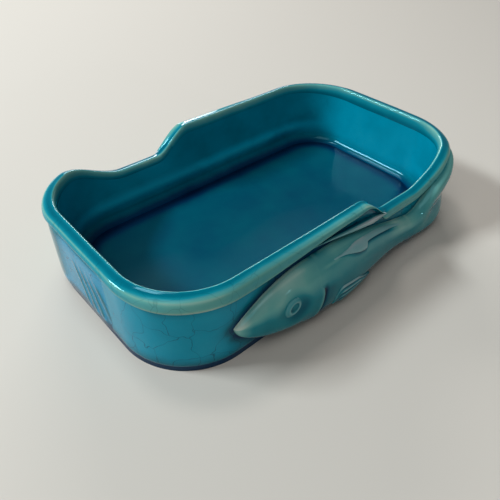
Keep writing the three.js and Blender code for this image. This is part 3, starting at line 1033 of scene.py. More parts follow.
@dataclass
class SideFin:
    """Leaf along the upper flank of the fish, with a notch in its lower edge."""

    body: FishBody
    start: float = 34.5
    end: float = 72.5
    rings: int = 150
    rows: int = 41
    top: float = 21.1
    top_fall: float = 7.2
    top_falls: Slope = Slope(44.0, 28.5, 1.35)
    lobe: float = 20.6
    lobe_fall: float = 3.2
    lobe_falls: Rise = Rise(36.0, 50.5)
    strip: float = 18.8
    strip_fall: float = 5.5
    strip_falls: Slope = Slope(51.0, 21.0, 1.3)
    notch: Rise = Rise(49.7, 51.3)
    end_run: float = 0.3
    least_half: float = 0.2
    thickness: float = 0.75
    sunk: float = 0.08
    back_depth: float = 0.8
    edge_fullness: float = 6.0
    edge_drop: float = 0.96

    coat: float = 0.2
    low_edge: Rise = Rise(0.4, 1.0)
    low_edge_thickens: float = 0.1

    def edges(self, distance: np.ndarray) -> tuple[np.ndarray, np.ndarray]:
        """Find the leaf's upper and lower edges.

        Args:
            distance: distances from the snout.

        Returns:
            The heights of the upper edge and of the lower edge.
        """
        top = self.top - self.top_fall * self.top_falls.at(distance)
        lobe = self.lobe - self.lobe_fall * self.lobe_falls.at(distance)
        strip = self.strip - self.strip_fall * self.strip_falls.at(distance)
        return top, blend(lobe, strip, self.notch.at(distance))

    def build(self) -> bpy.types.Object:
        """Model the leaf.

        Returns:
            The front fish's side fin.
        """
        rest = np.linspace(0.0, 1.0, self.rings)[:, None]
        row = np.linspace(1.0, -1.0, self.rows)[None, :]
        distance = blend(self.start, self.end, rest) + 0 * row
        top, low = self.edges(distance)
        ends = tapering(np.minimum(rest, 1 - rest) / self.end_run)
        half = np.maximum((top - low) / 2 * ends, self.least_half)
        ups = (top + low) / 2 + half * row
        seat = self.body.flank(distance, ups)
        crown = tapering(1 - self.edge_drop * np.abs(row) ** self.edge_fullness) * ends
        face = seat + self.thickness * crown - self.sunk
        glaze = self.coat + self.low_edge_thickens * self.low_edge.at(-row)
        back = seat - self.back_depth
        return self.body.plate("glazed_front_fish_side_fin", distance, ups, face, back, glaze)


@dataclass
class Trunk:
    """Trunk of the fish, which starts under the gill cover and ends at the stem of the tail."""

    body: FishBody
    leaf: SideFin
    rings: int = 150
    under_gill: float = 2.5
    sunk: float = 0.55
    sunk_from: float = 1.6
    sunk_shift: float = 1.5
    sunk_run: Rise = Rise(0.0, 1.0)
    groove: Hump = Hump(0.7, 0.9)
    groove_depth: float = 0.4
    ridge_level: Hump = Hump(20.5, 0.4)
    ridge_run: Stretch = Stretch(29.0, 31.0, 35.0, 40.0)
    ridge_rise: float = 0.14

    ridge_thins: float = 0.04
    gill_pool: Hump = Hump(0.5, 0.9)
    gill_thickens: float = 0.4
    behind_pool: Hump = Hump(2.0, 3.0)
    behind_thickens: float = 0.14
    # Painted shadow: a dark line on the trunk just under the side fin's lower edge.
    painted_leaf_shadow: Hump = Hump(-0.5, 0.6)
    painted_leaf_shadow_run: Stretch = Stretch(40.0, 46.0, 64.0, 72.0)
    painted_leaf_shadow_strength: float = 0.24

    def build(self) -> bpy.types.Object:
        """Model the trunk.

        Returns:
            The front fish's trunk.
        """
        body = self.body
        height = body.heights()
        rest = np.linspace(0.0, 1.0, self.rings)[:, None]
        ups = body.up_at(blend(body.gill_at - self.under_gill, body.length, rest), height)
        distance = blend(body.gill_edge(ups) - self.under_gill, body.length, rest)
        behind = distance - body.gill_edge(ups)
        marked = body.gill_mark(ups)
        ridge = self.ridge_run.at(distance) * self.ridge_level.at(ups)
        outs = body.flank(distance, ups)
        outs = outs - self.sunk * self.sunk_run.at(self.sunk_shift * marked - self.sunk_from - behind)
        outs = outs - self.groove_depth * marked * self.groove.at(behind) + self.ridge_rise * ridge
        pools = self.gill_thickens * self.gill_pool.at(behind)
        pools = pools + self.behind_thickens * self.behind_pool.at(behind)
        # Painted shadow under the side fin's lower edge.
        painted_shadow_under_leaf = self.painted_leaf_shadow_run.at(distance) * self.painted_leaf_shadow.at(ups - self.leaf.edges(distance)[1])
        glaze = body.glaze(distance, height) - self.ridge_thins * ridge
        glaze = glaze + marked * pools + self.painted_leaf_shadow_strength * painted_shadow_under_leaf
        return body.lay("glazed_front_fish_trunk", distance, np.maximum(outs, 0.0), ups, glaze)


@dataclass
class BackFin:
    """Slim band that widens along the groove under the rim to meet the roll's beak."""

    body: FishBody
    start: float = 27.0
    end: float = 65.0
    rings: int = 110
    rows: int = 31
    middle: float = 26.3
    middle_fall: float = 5.4
    middle_falls: Slope = Slope(0.0, 1.0, 1.3)
    start_half: float = 0.1
    widening: float = 1.25
    widens: Slope = Slope(0.0, 1.0, 1.2)
    tip_run: float = 0.2
    stands_out: Pair = (0.8, 1.9)
    stands_out_run: Rise = Rise(0.0, 0.6)
    draws_in: Rise = Rise(0.72, 1.0)
    tip_thickness: float = 0.9
    tip_leaves: Rise = Rise(0.86, 1.0)
    edge_fullness: float = 7.0

    coat: float = 0.3
    thins: float = 0.18
    thins_run: Rise = Rise(0.3, 0.8)
    # Darker along the top edge in the groove under the rim roll: partly pooled glaze, partly painted shade.
    top_edge_pool_and_shade: Rise = Rise(0.86, 0.98)
    top_edge_pool_and_shade_strength: float = 0.6
    top_edge_pool_and_shade_ends: Rise = Rise(0.9, 1.0)

    def build(self) -> bpy.types.Object:
        """Model the back fin.

        Returns:
            The front fish's back fin.
        """
        rest = np.linspace(0.0, 1.0, self.rings)[:, None]
        row = np.linspace(1.0, -1.0, self.rows)[None, :]
        distance = blend(self.start, self.end, rest) + 0 * row
        half = (self.start_half + self.widening * self.widens.at(rest)) * tapering((1 - rest) / self.tip_run)
        ups = self.middle - self.middle_fall * self.middle_falls.at(rest) + half * row
        out = blend(*self.stands_out, self.stands_out_run.at(rest)) - self.draws_in.at(rest)
        seat = blend(-self.body.rooted, out - self.tip_thickness, self.tip_leaves.at(rest)) + 0 * row
        face = blend(seat, out, tapering(1 - np.abs(row) ** self.edge_fullness))
        # Pooled glaze and painted shade along the top edge.
        top_edge_pool_and_shade = self.top_edge_pool_and_shade.at(row) * (1 - self.top_edge_pool_and_shade_ends.at(rest))
        glaze = self.coat - self.thins * self.thins_run.at(rest) + self.top_edge_pool_and_shade_strength * top_edge_pool_and_shade
        return self.body.plate("glazed_front_fish_back_fin", distance, ups, face, seat, glaze)


@dataclass
class TailFin:
    """Tail of the fish, which parts into two lobes, wraps the corner and ends in rays on the short end."""

    body: FishBody
    end: float = 160.0
    rings: int = 240
    below_rim: float = 4.2
    corner_climb: float = 2.4
    corner: Hump = Hump(59.0, 7.0)
    end_fall: float = 1.4
    end_falls: Rise = Rise(66.0, 74.0)
    top_spreads: Rise = Rise(33.0, 45.0)
    low: float = 1.6
    low_spreads: Rise = Rise(33.0, 46.0)
    stem_slope: float = 0.19
    stem_slope_run: float = 2.5
    thickness: float = 4.3
    corner_thickness: float = 1.0
    thins_to_corner: Rise = Rise(51.0, 68.0)
    end_loses: float = 0.5
    thins_to_end: Rise = Rise(72.0, 86.0)
    flattens: Rise = Rise(31.0, 45.0)
    edge_fullness: Pair = (7.0, 0.4)
    fork: Hump = Hump(0.0, 0.5)
    fork_run: Stretch = Stretch(38.0, 48.0, 56.0, 70.0)
    fork_depth: float = 0.34
    ray_top: float = 17.5
    ray_slant: float = 0.5
    ray_bend: float = 0.012
    ray_first: float = 91.8
    ray_pitch: float = 4.2
    ray_rise: float = 0.26
    ray_run: Stretch = Stretch(88.5, 91.0, 105.5, 108.0)
    ray_heights: Stretch = Stretch(3.0, 7.0, 14.5, 21.5)
    sinks: Rise = Rise(102.0, 112.0)
    sunk: float = 0.3

    # Painted light: the tail turns from grey-teal to a bright blue on the short end, as if lit by a cool
    # window from the left.
    coat: Pair = (0.36, 0.66)
    painted_window_light_run: Rise = Rise(66.0, 88.0)
    rays_thin: float = 0.12
    fork_thickens: float = 0.1
    low_thickens: float = 0.08
    low_half: Rise = Rise(0.3, 0.9)
    from_trunk: Rise = Rise(31.0, 40.0)

    def top(self, along: np.ndarray) -> np.ndarray:
        """Find the tail's upper edge, which climbs past the rim roll at the corner.

        Args:
            along: distances along the wall.

        Returns:
            The heights of the edge.
        """
        ceiling = self.body.wall.rim(along) - self.below_rim + self.corner_climb * self.corner.at(along)
        ceiling = ceiling - self.end_fall * self.end_falls.at(along)
        return blend(self.body.stem_level + self.body.stem_depth / 2, ceiling, self.top_spreads.at(along))

    def rays(self, along: np.ndarray, ups: np.ndarray) -> np.ndarray:
        """Draw the slanted rays on the short end.

        Args:
            along: distances along the wall.
            ups: heights above the table.

        Returns:
            The rays' strength, from nothing to one.
        """
        below = self.ray_top - ups
        slant = along - self.ray_slant * below + self.ray_bend * below**2
        rays = np.cos(math.pi * (slant - self.ray_first) / self.ray_pitch) ** 2
        return rays * self.ray_run.at(slant) * self.ray_heights.at(ups)

    def build(self) -> bpy.types.Object:
        """Model the tail fin.

        Returns:
            The front fish's tail fin.
        """
        body = self.body
        distance = np.linspace(body.length, self.end, self.rings)[:, None]
        along = body.snout + distance
        height = body.heights()
        top = self.top(along)
        low = blend(body.stem_level - body.stem_depth / 2, self.low, self.low_spreads.at(along))
        past = distance - body.length
        slope = self.stem_slope * past * np.exp(-past / self.stem_slope_run)
        ups = (top + low) / 2 + (top - low) / 2 * height - slope
        dome = body.stem_bulge * body.share(height)
        sheet = np.clip(1 - np.abs(height) ** self.edge_fullness[0], 0.0, 1.0) ** self.edge_fullness[1]
        thick = blend(self.thickness, self.corner_thickness, self.thins_to_corner.at(along))
        thick = thick - self.end_loses * self.thins_to_end.at(along)
        fork = self.fork_depth * self.fork_run.at(along) * self.fork.at(height)
        rays = self.rays(along, ups)
        outs = blend(dome, thick * sheet * (1 - fork), self.flattens.at(along))
        outs = blend(outs + self.ray_rise * rays * sheet, -self.sunk, self.sinks.at(along))
        # Painted cool window light towards the short end.
        glaze = blend(*self.coat, self.painted_window_light_run.at(along)) - self.rays_thin * rays + self.fork_thickens * fork
        glaze = glaze + self.low_thickens * self.low_half.at(-height)
        glaze = blend(body.glaze(distance, height), glaze, self.from_trunk.at(along))
        return body.lay("glazed_front_fish_tail_fin", distance + 0 * height, outs, ups, glaze)


@dataclass
class Fish:
    """Fish in relief on a long side."""

    wall: Wall
    outline_places: tuple[int, int] = (60, 20)
    outline_end: float = 64.0
    pieces: dict[str, bpy.types.Object] = field(default_factory=dict)

    def __post_init__(self) -> None:
        """Set out the body and the tail, whose outline the wall's glaze follows."""
        self.body = FishBody(self.wall)
        self.tail = TailFin(self.body)

    def gap(self, along: np.ndarray, up: np.ndarray) -> np.ndarray:
        """Distance on the wall from the outline of the fish.

        Args:
            along: distances along the wall.
            up: heights above the table.

        Returns:
            The distances to the nearest place on the outline.
        """
        on_body, on_tail = self.outline_places
        body = np.linspace(0.0, self.body.length, on_body)
        tail = np.linspace(self.body.snout + self.body.length, self.outline_end, on_tail)
        across = np.concatenate([self.body.snout + body, self.body.snout + body, tail])
        back, belly = self.body.up_at(body, 1.0), self.body.up_at(body, -1.0)
        nearest = np.full(along.shape, np.inf)
        for x, z in zip(across, np.concatenate([back, belly, self.tail.top(tail)])):
            nearest = np.minimum(nearest, np.hypot(along - x, up - z))
        return nearest

    def build(self) -> None:
        """Model every piece of the front fish."""
        leaf = SideFin(self.body)
        self.pieces = {
            "fish_head": Head(self.body).build(),
            "fish_trunk": Trunk(self.body, leaf).build(),
            "fish_eye": Eye(self.body).build(),
            "fish_belly_fin": BellyFin(self.body).build(),
            "fish_side_fin": leaf.build(),
            "fish_back_fin": BackFin(self.body).build(),
            "fish_tail_fin": self.tail.build(),
        }


@dataclass
class Bowl:
    """Floor slab and wall band. A pair of values holds the one for the sides and the one for the ends."""

    wall: Wall
    floor_top: float = 5.0
    rounding: float = 3.0
    rounding_steps: int = 8
    rounding_shown_from: float = 0.32
    corner_steps: int = 28
    foot_width: float = 6.0
    foot_depth: float = 1.0
    floor_rings: int = 18
    floor_ring_width: float = 0.6
    level_within: float = 1e-6
    top_thickness: float = 2.8
    at_cove: Pair = (6.2, 4.4)
    cove: float = 3.4
    ledge: float = 0.6
    ledge_height: float = 6.6
    skin: float = 0.06
    under_rim: float = 1.7
    tongue: float = 1.0
    rings: int = 640
    bend_points: int = 9
    cove_points: int = 13
    face_points: int = 28

    floor_glaze: float = 0.66
    outside_glaze: float = 0.42
    inside_glaze: float = 0.53
    inside: Rise = Rise(1.2, 2.4)
    # Paler inside the ends is painted light; the paler ledge is partly thin glaze over it, partly a painted
    # highlight.
    inside_ends_painted_light: float = 0.1
    ledge_thin_glaze_and_highlight: float = 0.16
    # Darker glaze on the wall beside the fish and in the groove under the rim: partly pooled glaze, partly
    # painted shade.
    pool_and_shade_band: Hump = Hump(0.0, 2.8)
    pool_and_shade_strength: float = 0.36
    behind_thickens: float = 0.35
    behind_run: Rise = Rise(-8.0, 8.0)
    groove_run: Stretch = Stretch(-34.0, -14.0, 15.0, 19.0)
    groove_heights: Rise = Rise(19.0, 22.0)
    groove_pool_and_shade: float = 0.14

    def build_floor(self) -> bpy.types.Object:
        """Cut a slab with round corners, round its lower edge, and hollow it inside a foot.

        Returns:
            The slab.
        """
        shy = 2 * (self.skin + self.wall.waver)
        Bench.clear()
        bpy.ops.mesh.primitive_plane_add(size=1.0, location=(0.0, 0.0, 0.0))
        slab = Bench.new_piece("glazed_floor_slab")
        slab.scale = ((self.wall.length - shy) * MM, (self.wall.width - shy) * MM, 1.0)
        bpy.ops.object.transform_apply(location=True, rotation=True, scale=True)
        bpy.ops.object.mode_set(mode="EDIT")
        bpy.ops.mesh.select_all(action="SELECT")
        bpy.ops.mesh.bevel(offset=self.wall.corner * MM, affect="VERTICES", segments=self.corner_steps)
        bpy.ops.mesh.select_all(action="SELECT")
        bpy.ops.mesh.extrude_region_move(TRANSFORM_OT_translate={"value": (0.0, 0.0, self.floor_top * MM)})
        bpy.ops.mesh.select_all(action="SELECT")
        bpy.ops.mesh.fill_holes(sides=0)
        bpy.ops.mesh.normals_make_consistent(inside=False)
        self.pick_level(slab, 0.0)
        bpy.ops.mesh.region_to_loop()
        bpy.ops.mesh.bevel(offset=self.rounding * MM, affect="EDGES", segments=self.rounding_steps)
        self.pick_level(slab, 0.0)
        bpy.ops.mesh.inset(thickness=self.foot_width * MM, depth=0.0)
        bpy.ops.mesh.inset(thickness=self.foot_depth * MM, depth=-self.foot_depth * MM)
        self.pick_level(slab, self.floor_top)
        for width in [self.at_cove[1]] + [self.floor_ring_width] * self.floor_rings:
            bpy.ops.mesh.inset(thickness=width * MM, depth=0.0)
        bpy.ops.object.mode_set(mode="OBJECT")
        Bench.finish(slab)
        Bench.mark(slab, np.full(len(slab.data.vertices), self.floor_glaze))
        return slab

    def pick_level(self, slab: bpy.types.Object, level: float) -> None:
        """Select the slab's flat face at one height, in edit mode.

        Args:
            slab: the slab.
            level: the face's height.
        """
        bpy.ops.object.mode_set(mode="OBJECT")
        corners = slab.data.vertices
        for face in slab.data.polygons:
            face.select = all(abs(corners[i].co.z - level * MM) < self.level_within for i in face.vertices)
        bpy.ops.object.mode_set(mode="EDIT")
        bpy.ops.mesh.select_mode(type="FACE")

    def ledge_share(self, ups: np.ndarray, endwise: np.ndarray) -> np.ndarray:
        """Share of the soft ledge that stands above the cove on the inside of a long side."""
        rise = np.clip((ups - self.floor_top - self.cove) / self.ledge_height, 0.0, 1.0)
        return np.sin(math.pi * rise) ** 2 * (1 - endwise)

    def toe(self, endwise: np.ndarray) -> np.ndarray:
        """How far in from the wall's outside the cove meets the floor."""
        return blend(*self.at_cove, endwise) + self.cove

    def section(self, along: np.ndarray) -> tuple[np.ndarray, np.ndarray]:
        """Draw the wall's section: outside, top, inside with its cove, and the way back under the floor.

        Args:
            along: distances along the wall, one for each section.

        Returns:
            The distances out and the heights, by section and by point.
        """
        top = (self.wall.rim(along) - self.under_rim)[:, None]
        endwise = self.wall.endwise(along)[:, None]
        at_cove = blend(*self.at_cove, endwise)
        bend = np.linspace(self.rounding_shown_from, math.pi / 2, self.bend_points)[None, :]
        turn = np.linspace(0.0, math.pi / 2, self.cove_points)[None, 1:]
        climb = np.linspace(0.0, 1.0, self.face_points)[None, 1:]
        flat = np.zeros_like(top)
        cove_top = self.floor_top + self.cove
        inner = blend(top, flat + cove_top, climb)
        tongue = flat - self.rounding - self.tongue
        outs = [
            self.rounding * (np.sin(bend) - 1) + flat,
            flat * climb,
            flat - self.top_thickness / 2,
            blend(flat - self.top_thickness, -at_cove, climb) - self.ledge * self.ledge_share(inner, endwise),
            -at_cove - self.cove * (1 - np.cos(turn)),
            -self.toe(endwise),
            tongue,
            tongue,
        ]
        ups = [
            self.rounding * (1 - np.cos(bend)) + flat,
            blend(flat + self.rounding, top, climb),
            top,
            inner,
            cove_top - self.cove * np.sin(turn) + flat,
            flat + self.floor_top - self.skin,
            flat + self.floor_top - self.rounding / 2,
            flat + self.rounding / 2,
        ]
        return np.concatenate(outs, 1), np.concatenate(ups, 1)

    def build_wall(self, fish: Fish) -> bpy.types.Object:
        """Raise the wall band round the slab, with thick glaze inside it, darker glaze beside the fish and
        under the rim as pooled glaze and painted shade, paler glaze inside the ends as painted light, and a
        paler ledge of thin glaze with a painted highlight.

        Args:
            fish: the fish on the front.

        Returns:
            The wall band.
        """
        along = np.linspace(0.0, 2 * self.wall.half_round, self.rings, endpoint=False)
        outs, ups = self.section(along)
        around = self.wall.from_front(along[:, None] + 0 * outs)
        # Pooled glaze and painted shade beside the fish and under the rim.
        beside_pool_and_shade = self.pool_and_shade_strength * self.pool_and_shade_band.at(fish.gap(around, ups))
        beside_pool_and_shade = beside_pool_and_shade * blend(1.0, self.behind_thickens, self.behind_run.at(around))
        groove = self.groove_run.at(around) * self.groove_heights.at(ups)
        beside_pool_and_shade = np.maximum(beside_pool_and_shade, self.groove_pool_and_shade * groove)
        endwise = self.wall.endwise(along)[:, None]
        # Paler inside the ends as painted light, and on the ledge as thin glaze and a painted highlight.
        thins = self.inside_ends_painted_light * endwise**2 + self.ledge_thin_glaze_and_highlight * self.ledge_share(ups, endwise)
        glaze = blend(self.outside_glaze + beside_pool_and_shade, self.inside_glaze - thins, self.inside.at(-outs))
        rings = self.wall.place(along[:, None], outs, ups)
        return Bench.loft("glazed_wall_band", rings, glaze, joined=True)


@dataclass
class GlazeCoat:
    """How thick the glaze settles on each piece: thin over edges, pooled in hollows, where painted shade is
    added too.

    Of the two values for hollows, the first is for the inside of the dish and the second for the outside.
    """

    wall: Wall
    bowl: Bowl
    reach: float = 5.0
    rays: int = 16
    lowest_ray: float = 0.12
    lift: float = 0.05
    upright: float = 0.8
    # Rays find the hollows: glaze pools there, and painted shade of the nearby surfaces is added.
    hollow_pool_and_shade: Pair = (0.8, 0.45)
    outside: Rise = Rise(-1.6, -0.6)
    fine_passes: int = 8
    fine_most: float = 0.25
    fine_thickens: float = 0.9
    fine_seam: Rise = Rise(0.4, 3.0)
    broad_passes: int = 70
    broad_most: float = 0.4
    broad_thickens: float = 0.3
    broad_seam: Rise = Rise(2.0, 8.0)
    hollow_seam: Rise = Rise(0.3, 1.2)
    seams: Pair = (-17.6, 31.0)
    bends_show: Rise = Rise(-4.0, 1.2)
    crease: Hump = Hump(0.6, 3.2)
    crease_thickens: float = 0.3
    crease_inside: Rise = Rise(3.0, 4.5)
    crease_height: Rise = Rise(5.5, 10.0)
    # Darker outside towards the foot: glaze run down, and painted shade near the table.
    foot_pool_and_shade: float = 0.22
    foot_outside: Rise = Rise(-2.4, -1.2)
    foot_height: Rise = Rise(0.5, 7.0)
    inside_cracks: float = 0.1
    surface: BVHTree | None = None

    def look_around(self, pieces: list[bpy.types.Object]) -> None:
        """Take in all the pieces, so that each one's hollows are known.

        Faces are put in one order, each from its first corner, because modelling steps may list them in
        another order in another run.

        Args:
            pieces: every piece of the dish.
        """
        corners, faces = [], []
        for piece in pieces:
            first = len(corners)
            corners.extend(Vector(point) for point in Bench.points(piece))
            rings = [[first + i for i in face.vertices] for face in piece.data.polygons]
            starts = [ring.index(min(ring)) for ring in rings]
            faces.extend(sorted(ring[start:] + ring[:start] for ring, start in zip(rings, starts)))
        self.surface = BVHTree.FromPolygons(corners, faces)

    @staticmethod
    def bend(piece: bpy.types.Object, points: np.ndarray, normals: np.ndarray, passes: int) -> np.ndarray:
        """Measure how a piece's surface bends: below nothing over an edge, above it in a hollow.

        Args:
            piece: the mesh to measure.
            points: its points in metres.
            normals: its normals at the points.
            passes: how many times the points are pulled towards their neighbours.

        Returns:
            The distance in millimetres that smoothing would move each point outwards.
        """
        flat = np.empty(len(piece.data.edges) * 2, np.int64)
        piece.data.edges.foreach_get("vertices", flat)
        one, two = flat.reshape(-1, 2).T
        here, there = np.concatenate([one, two]), np.concatenate([two, one])
        count = len(points)
        meeting = np.maximum(np.bincount(flat, minlength=count), 1)[:, None]
        soft = points.copy()
        for _ in range(passes):
            pulled = np.stack([np.bincount(here, column, count) for column in soft[there].T], 1)
            soft = (soft + pulled / meeting) / 2
        return ((soft - points) * normals).sum(1) / MM

    def hollow(self, points: np.ndarray, normals: np.ndarray) -> np.ndarray:
        """Measure how closely other surfaces stand round each point, from nothing to one.

        Args:
            points: places in metres.
            normals: directions away from the surface.

        Returns:
            The share of the room round each point that is taken up.
        """
        turn = GOLDEN_TURN * np.arange(self.rays)
        rise = blend(self.lowest_ray, 1.0, (np.arange(self.rays) + 0.5) / self.rays)
        spread = np.sqrt(1 - rise**2)
        leaning = np.abs(normals[:, 2:]) < self.upright
        across = np.cross(np.where(leaning, [[0.0, 0.0, 1.0]], [[1.0, 0.0, 0.0]]), normals)
        across /= np.linalg.norm(across, axis=1)[:, None]
        other = np.cross(normals, across)
        reach = self.reach * MM
        start = points + normals * self.lift * MM
        taken = np.zeros(len(points))
        for k in range(self.rays):
            sideways = math.cos(turn[k]) * across + math.sin(turn[k]) * other
            way = spread[k] * sideways + rise[k] * normals
            for i, (place, heading) in enumerate(zip(start, way)):
                _, facing, _, distance = self.surface.ray_cast(Vector(place), Vector(heading), reach)
                if distance is not None and facing.dot(Vector(heading)) < 0:
                    taken[i] += 1 - distance / reach
        return taken / self.rays

    def settle(self, piece: bpy.types.Object, edges: float, runs_on: bool) -> None:
        """Let the glaze run off edges, into hollows and down to the foot, darkened there also as painted
        shade, and keep the value with the mesh.

        Args:
            piece: the mesh to coat.
            edges: how much the glaze thins on the piece's edges.
            runs_on: whether the piece goes on into another at one of the fish's seams.
        """
        points = Bench.points(piece)
        flat = np.empty(len(points) * 3)
        piece.data.vertex_normals.foreach_get("vector", flat)
        normals = flat.reshape(-1, 3)
        out = self.wall.stand_out(points)
        up = points[:, 2] / MM
        endwise = self.wall.endwise_at(points)
        seams = np.array(self.seams) if runs_on else np.array([np.inf])
        seam = np.abs(points[:, :1] / MM - seams).min(1)
        fine = self.bend(piece, points, normals, self.fine_passes)
        fine = np.clip(fine, -self.fine_most, self.fine_most)
        broad = self.bend(piece, points, normals, self.broad_passes)
        broad = np.clip(broad, -self.broad_most, self.broad_most)
        bend = self.fine_thickens * fine * self.fine_seam.at(seam)
        bend = bend + self.broad_thickens * broad * self.broad_seam.at(seam)
        # Hollows found by rays: pooled glaze, and painted shade.
        hollow = blend(*self.hollow_pool_and_shade, self.outside.at(out)) * self.hollow_seam.at(seam)
        crease = self.crease_inside.at(-out) * (1 - self.crease_height.at(up))
        crease = crease * self.crease.at(-out - self.bowl.toe(endwise))
        # Towards the foot: run-down glaze, and painted shade near the table.
        foot = self.foot_outside.at(out) * (1 - self.foot_height.at(up))
        glaze = Bench.read_mark(piece) + hollow * self.hollow(points, normals)
        glaze = glaze + edges * bend * self.bends_show.at(out)
        glaze = glaze + self.crease_thickens * crease + self.foot_pool_and_shade * foot
        Bench.mark(piece, np.clip(glaze, 0.0, 1.0))
        cracks = endwise**2 if runs_on else 1.0
        Bench.mark(piece, blend(self.inside_cracks, cracks, self.outside.at(out)), CRACK_MARK)


@dataclass(frozen=True)
class Lamp:
    """Soft lamp that faces the dish. Angles are in degrees, lengths in metres and power in watts."""

    name: str
    around: float
    above: float
    distance: float
    size: Pair
    power: float
    shade: tuple[float, float, float] = (1.0, 1.0, 1.0)


@dataclass
class Studio:
    """Pale floor, soft lamps and the camera."""

    floor_size: float = 6.0
    floor_shade: Shade = (202, 195, 185)
    floor_roughness: float = 0.9
    floor_gloss: float = 0.1
    lamps: tuple[Lamp, ...] = (
        Lamp("key_lamp", 232.0, 40.0, 1.0, (0.3, 0.12), 8.5, (0.84, 0.94, 1.0)),
        Lamp("window_lamp", 150.0, 20.0, 1.3, (0.7, 0.25), 9.0),
        Lamp("top_lamp", 185.0, 66.0, 1.0, (0.2, 0.2), 1.8),
        Lamp("spot_lamp", 10.0, 13.0, 1.0, (0.03, 0.03), 0.5),
        Lamp("fill_lamp", -70.0, 56.0, 1.2, (0.7, 0.7), 3.8),
    )
    room_shade: tuple[float, ...] = (0.86, 0.93, 1.0, 1.0)
    room_light: float = 0.12
    focal_pixels: float = 501.871
    azimuth: float = -42.432
    elevation: float = 41.127
    roll: float = 0.969
    distance: float = 158.976
    target: tuple[float, float, float] = (-22.905, -19.34, 14.475)
    film_width: float = 36.0
    nearest_seen: float = 5.0

    def build_floor(self) -> None:
        """Lay the pale floor."""
        Bench.clear()
        bpy.ops.mesh.primitive_plane_add(size=self.floor_size, location=(0.0, 0.0, 0.0))
        floor = Bench.new_piece("pale_floor")
        material = bpy.data.materials.new("pale_floor")
        material.use_nodes = True
        shader = material.node_tree.nodes["Principled BSDF"]
        shader.inputs["Base Color"].default_value = linear(self.floor_shade)
        shader.inputs["Roughness"].default_value = self.floor_roughness
        shader.inputs["Specular IOR Level"].default_value = self.floor_gloss
        floor.data.materials.append(material)

    @staticmethod
    def way(azimuth: float, elevation: float) -> Vector:
        """Find a direction from the dish.

        Args:
            azimuth: angle round from the front, in degrees.
            elevation: angle above the table, in degrees.

        Returns:
            The direction, of length one.
        """
        around, above = math.radians(azimuth), math.radians(elevation)
        flat = math.cos(above)
        return Vector((math.sin(around) * flat, -math.cos(around) * flat, math.sin(above)))

    def hang(self, lamp: Lamp) -> None:
        """Hang a lamp.

        Args:
            lamp: its place, size and light.
        """
        Bench.clear()
        place = self.way(lamp.around, lamp.above) * lamp.distance
        bpy.ops.object.light_add(type="AREA", location=place)
        hung = Bench.new_piece(lamp.name)
        hung.data.shape = "RECTANGLE"
        hung.data.size, hung.data.size_y = lamp.size
        hung.data.energy = lamp.power
        hung.data.color = lamp.shade
        hung.rotation_euler = (-place).to_track_quat("-Z", "Y").to_euler()

    def light(self) -> None:
        """Hang the lamps and set the room's own light."""
        for lamp in self.lamps:
            self.hang(lamp)
        world = bpy.data.worlds.new("room")
        world.use_nodes = True
        sky = world.node_tree.nodes["Background"]
        sky.inputs["Color"].default_value = self.room_shade
        sky.inputs["Strength"].default_value = self.room_light
        bpy.context.scene.world = world
        bpy.context.scene.view_settings.view_transform = "Standard"

    def set_camera(self) -> None:
        """Stand the camera where the dish is seen from."""
        back = self.way(self.azimuth, self.elevation)
        side = Vector((0.0, 0.0, 1.0)).cross(back).normalized()
        level = Matrix((side, back.cross(side), back)).transposed()
        turned = level @ Matrix.Rotation(math.radians(self.roll), 3, "Z")
        place = (Vector(self.target) + self.distance * back) * MM
        Bench.clear()
        bpy.ops.object.camera_add()
        camera = Bench.new_piece("camera")
        camera.matrix_world = Matrix.Translation(place) @ turned.to_4x4()
        camera.data.sensor_width = self.film_width
        camera.data.lens = self.focal_pixels * self.film_width / IMAGE_WIDTH
        camera.data.clip_start = self.nearest_seen * MM
        bpy.context.scene.camera = camera


THIN_ON_FISH = ((0.0, (186, 206, 192)), (0.2, (102, 164, 158)), (0.42, (24, 126, 136)))
POOLED_ON_FISH = ((0.8, (0, 50, 78)), (1.0, (0, 14, 40)))
GLAZES = (
    Glaze("floor", Slot.POOLED, (
        (0.0, (60, 160, 165)), (0.4, (0, 122, 134)), (0.6, (0, 86, 100)), (0.8, (0, 46, 80)),
        (1.0, (0, 16, 50)),
    ), roughness=0.3, crackle=0.12),
    Glaze("wall", Slot.WALL, (
        (0.0, (160, 205, 195)), (0.2, (40, 172, 188)), (0.42, (0, 140, 166)), (0.6, (0, 100, 118)),
        (0.8, (0, 48, 82)), (1.0, (0, 14, 46)),
    )),
    Glaze("rim", Slot.RIM, (
        (0.0, (212, 228, 212)), (0.1, (152, 178, 160)), (0.2, (98, 162, 154)), (0.36, (20, 134, 148)),
        (0.5, (0, 106, 124)), (0.65, (0, 80, 98)), (1.0, (0, 20, 50)),
    ), crackle=0.35),
    Glaze("fish", Slot.RELIEF, (*THIN_ON_FISH, (0.6, (0, 92, 108)), *POOLED_ON_FISH), crackle=0.06),
    # The tail's bright blue at 0.66 is painted cool window light on the short end.
    Glaze("tail", Slot.RELIEF, (
        *THIN_ON_FISH, (0.54, (8, 102, 118)), (0.66, (0, 139, 176)), (0.78, (0, 96, 122)), (0.9, (0, 48, 80)),
        (1.0, (0, 14, 44)),
    )),
    Glaze("ridge", Slot.RIDGE, (
        (0.0, (182, 190, 192)), (0.2, (122, 170, 172)), (0.42, (42, 132, 140)), (0.6, (0, 94, 110)),
        *POOLED_ON_FISH,
    ), crackle=0.06),
)
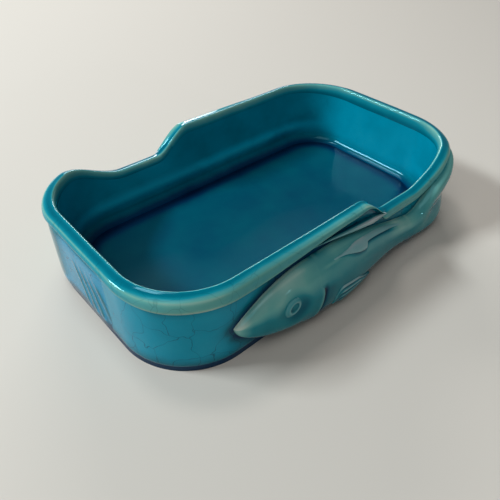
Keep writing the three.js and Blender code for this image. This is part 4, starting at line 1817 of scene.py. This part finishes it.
GLAZE_OF = {
    "floor_slab": "floor", "wall_band": "wall", "rim_roll": "rim", "fish_head": "fish", "fish_trunk": "fish",
    "fish_tail_fin": "tail", "fish_eye": "ridge", "fish_belly_fin": "ridge", "fish_side_fin": "ridge",
    "fish_back_fin": "ridge",
}
EDGES_OF = {"floor_slab": 0.0, "wall_band": 0.0, "rim_roll": 0.5, "fish_eye": 0.5}
FULL_EDGES = 1.0
RUNS_ON = ("fish_head", "fish_trunk", "fish_tail_fin")


def dress(piece: bpy.types.Object, node: str, paint: bpy.types.Material) -> None:
    """Give a piece its glaze, hang it under the root and hide the solid that it stands for.

    Args:
        piece: the finished mesh.
        node: the solid that it stands for.
        paint: the material of its glaze.
    """
    piece.data.materials.clear()
    piece.data.materials.append(paint)
    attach(piece, "root")
    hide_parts(node)
    log.info("%s: %d faces", piece.name, len(piece.data.polygons))


def main() -> None:
    """Build the dish, coat it with glaze, and set it in the studio."""
    logging.basicConfig(level=logging.INFO, format="%(message)s")
    low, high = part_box("wall_band")
    wall = Wall(length=(high.x - low.x) / MM, width=(high.y - low.y) / MM)
    bowl = Bowl(wall)
    fish = Fish(wall)
    shared = {"floor_slab": bowl.build_floor(), "wall_band": bowl.build_wall(fish)}
    halves = {"rim_roll": RimRoll(wall).build()}
    fish.build()
    halves.update(fish.pieces)

    coat = GlazeCoat(wall, bowl)
    turned = [Bench.half_turn_copy(piece, f"trial_{name}") for name, piece in halves.items()]
    coat.look_around([*shared.values(), *halves.values(), *turned])
    for piece in turned:
        bpy.data.objects.remove(piece, do_unlink=True)
    for name, piece in [*shared.items(), *halves.items()]:
        coat.settle(piece, EDGES_OF.get(name, FULL_EDGES), name in RUNS_ON)

    paints = {glaze.name: glaze.paint() for glaze in GLAZES}
    for name, piece in shared.items():
        dress(piece, name, paints[GLAZE_OF[name]])
    for name, piece in halves.items():
        glaze = GLAZE_OF[name]
        copy = Bench.half_turn_copy(piece, f"glazed_{Side.BACK.value}_{name}")
        dress(piece, f"{Side.FRONT.value}_{name}", paints[glaze])
        dress(copy, f"{Side.BACK.value}_{name}", paints[glaze])

    studio = Studio()
    studio.build_floor()
    studio.light()
    studio.set_camera()


if __name__ == "__main__":
    main()
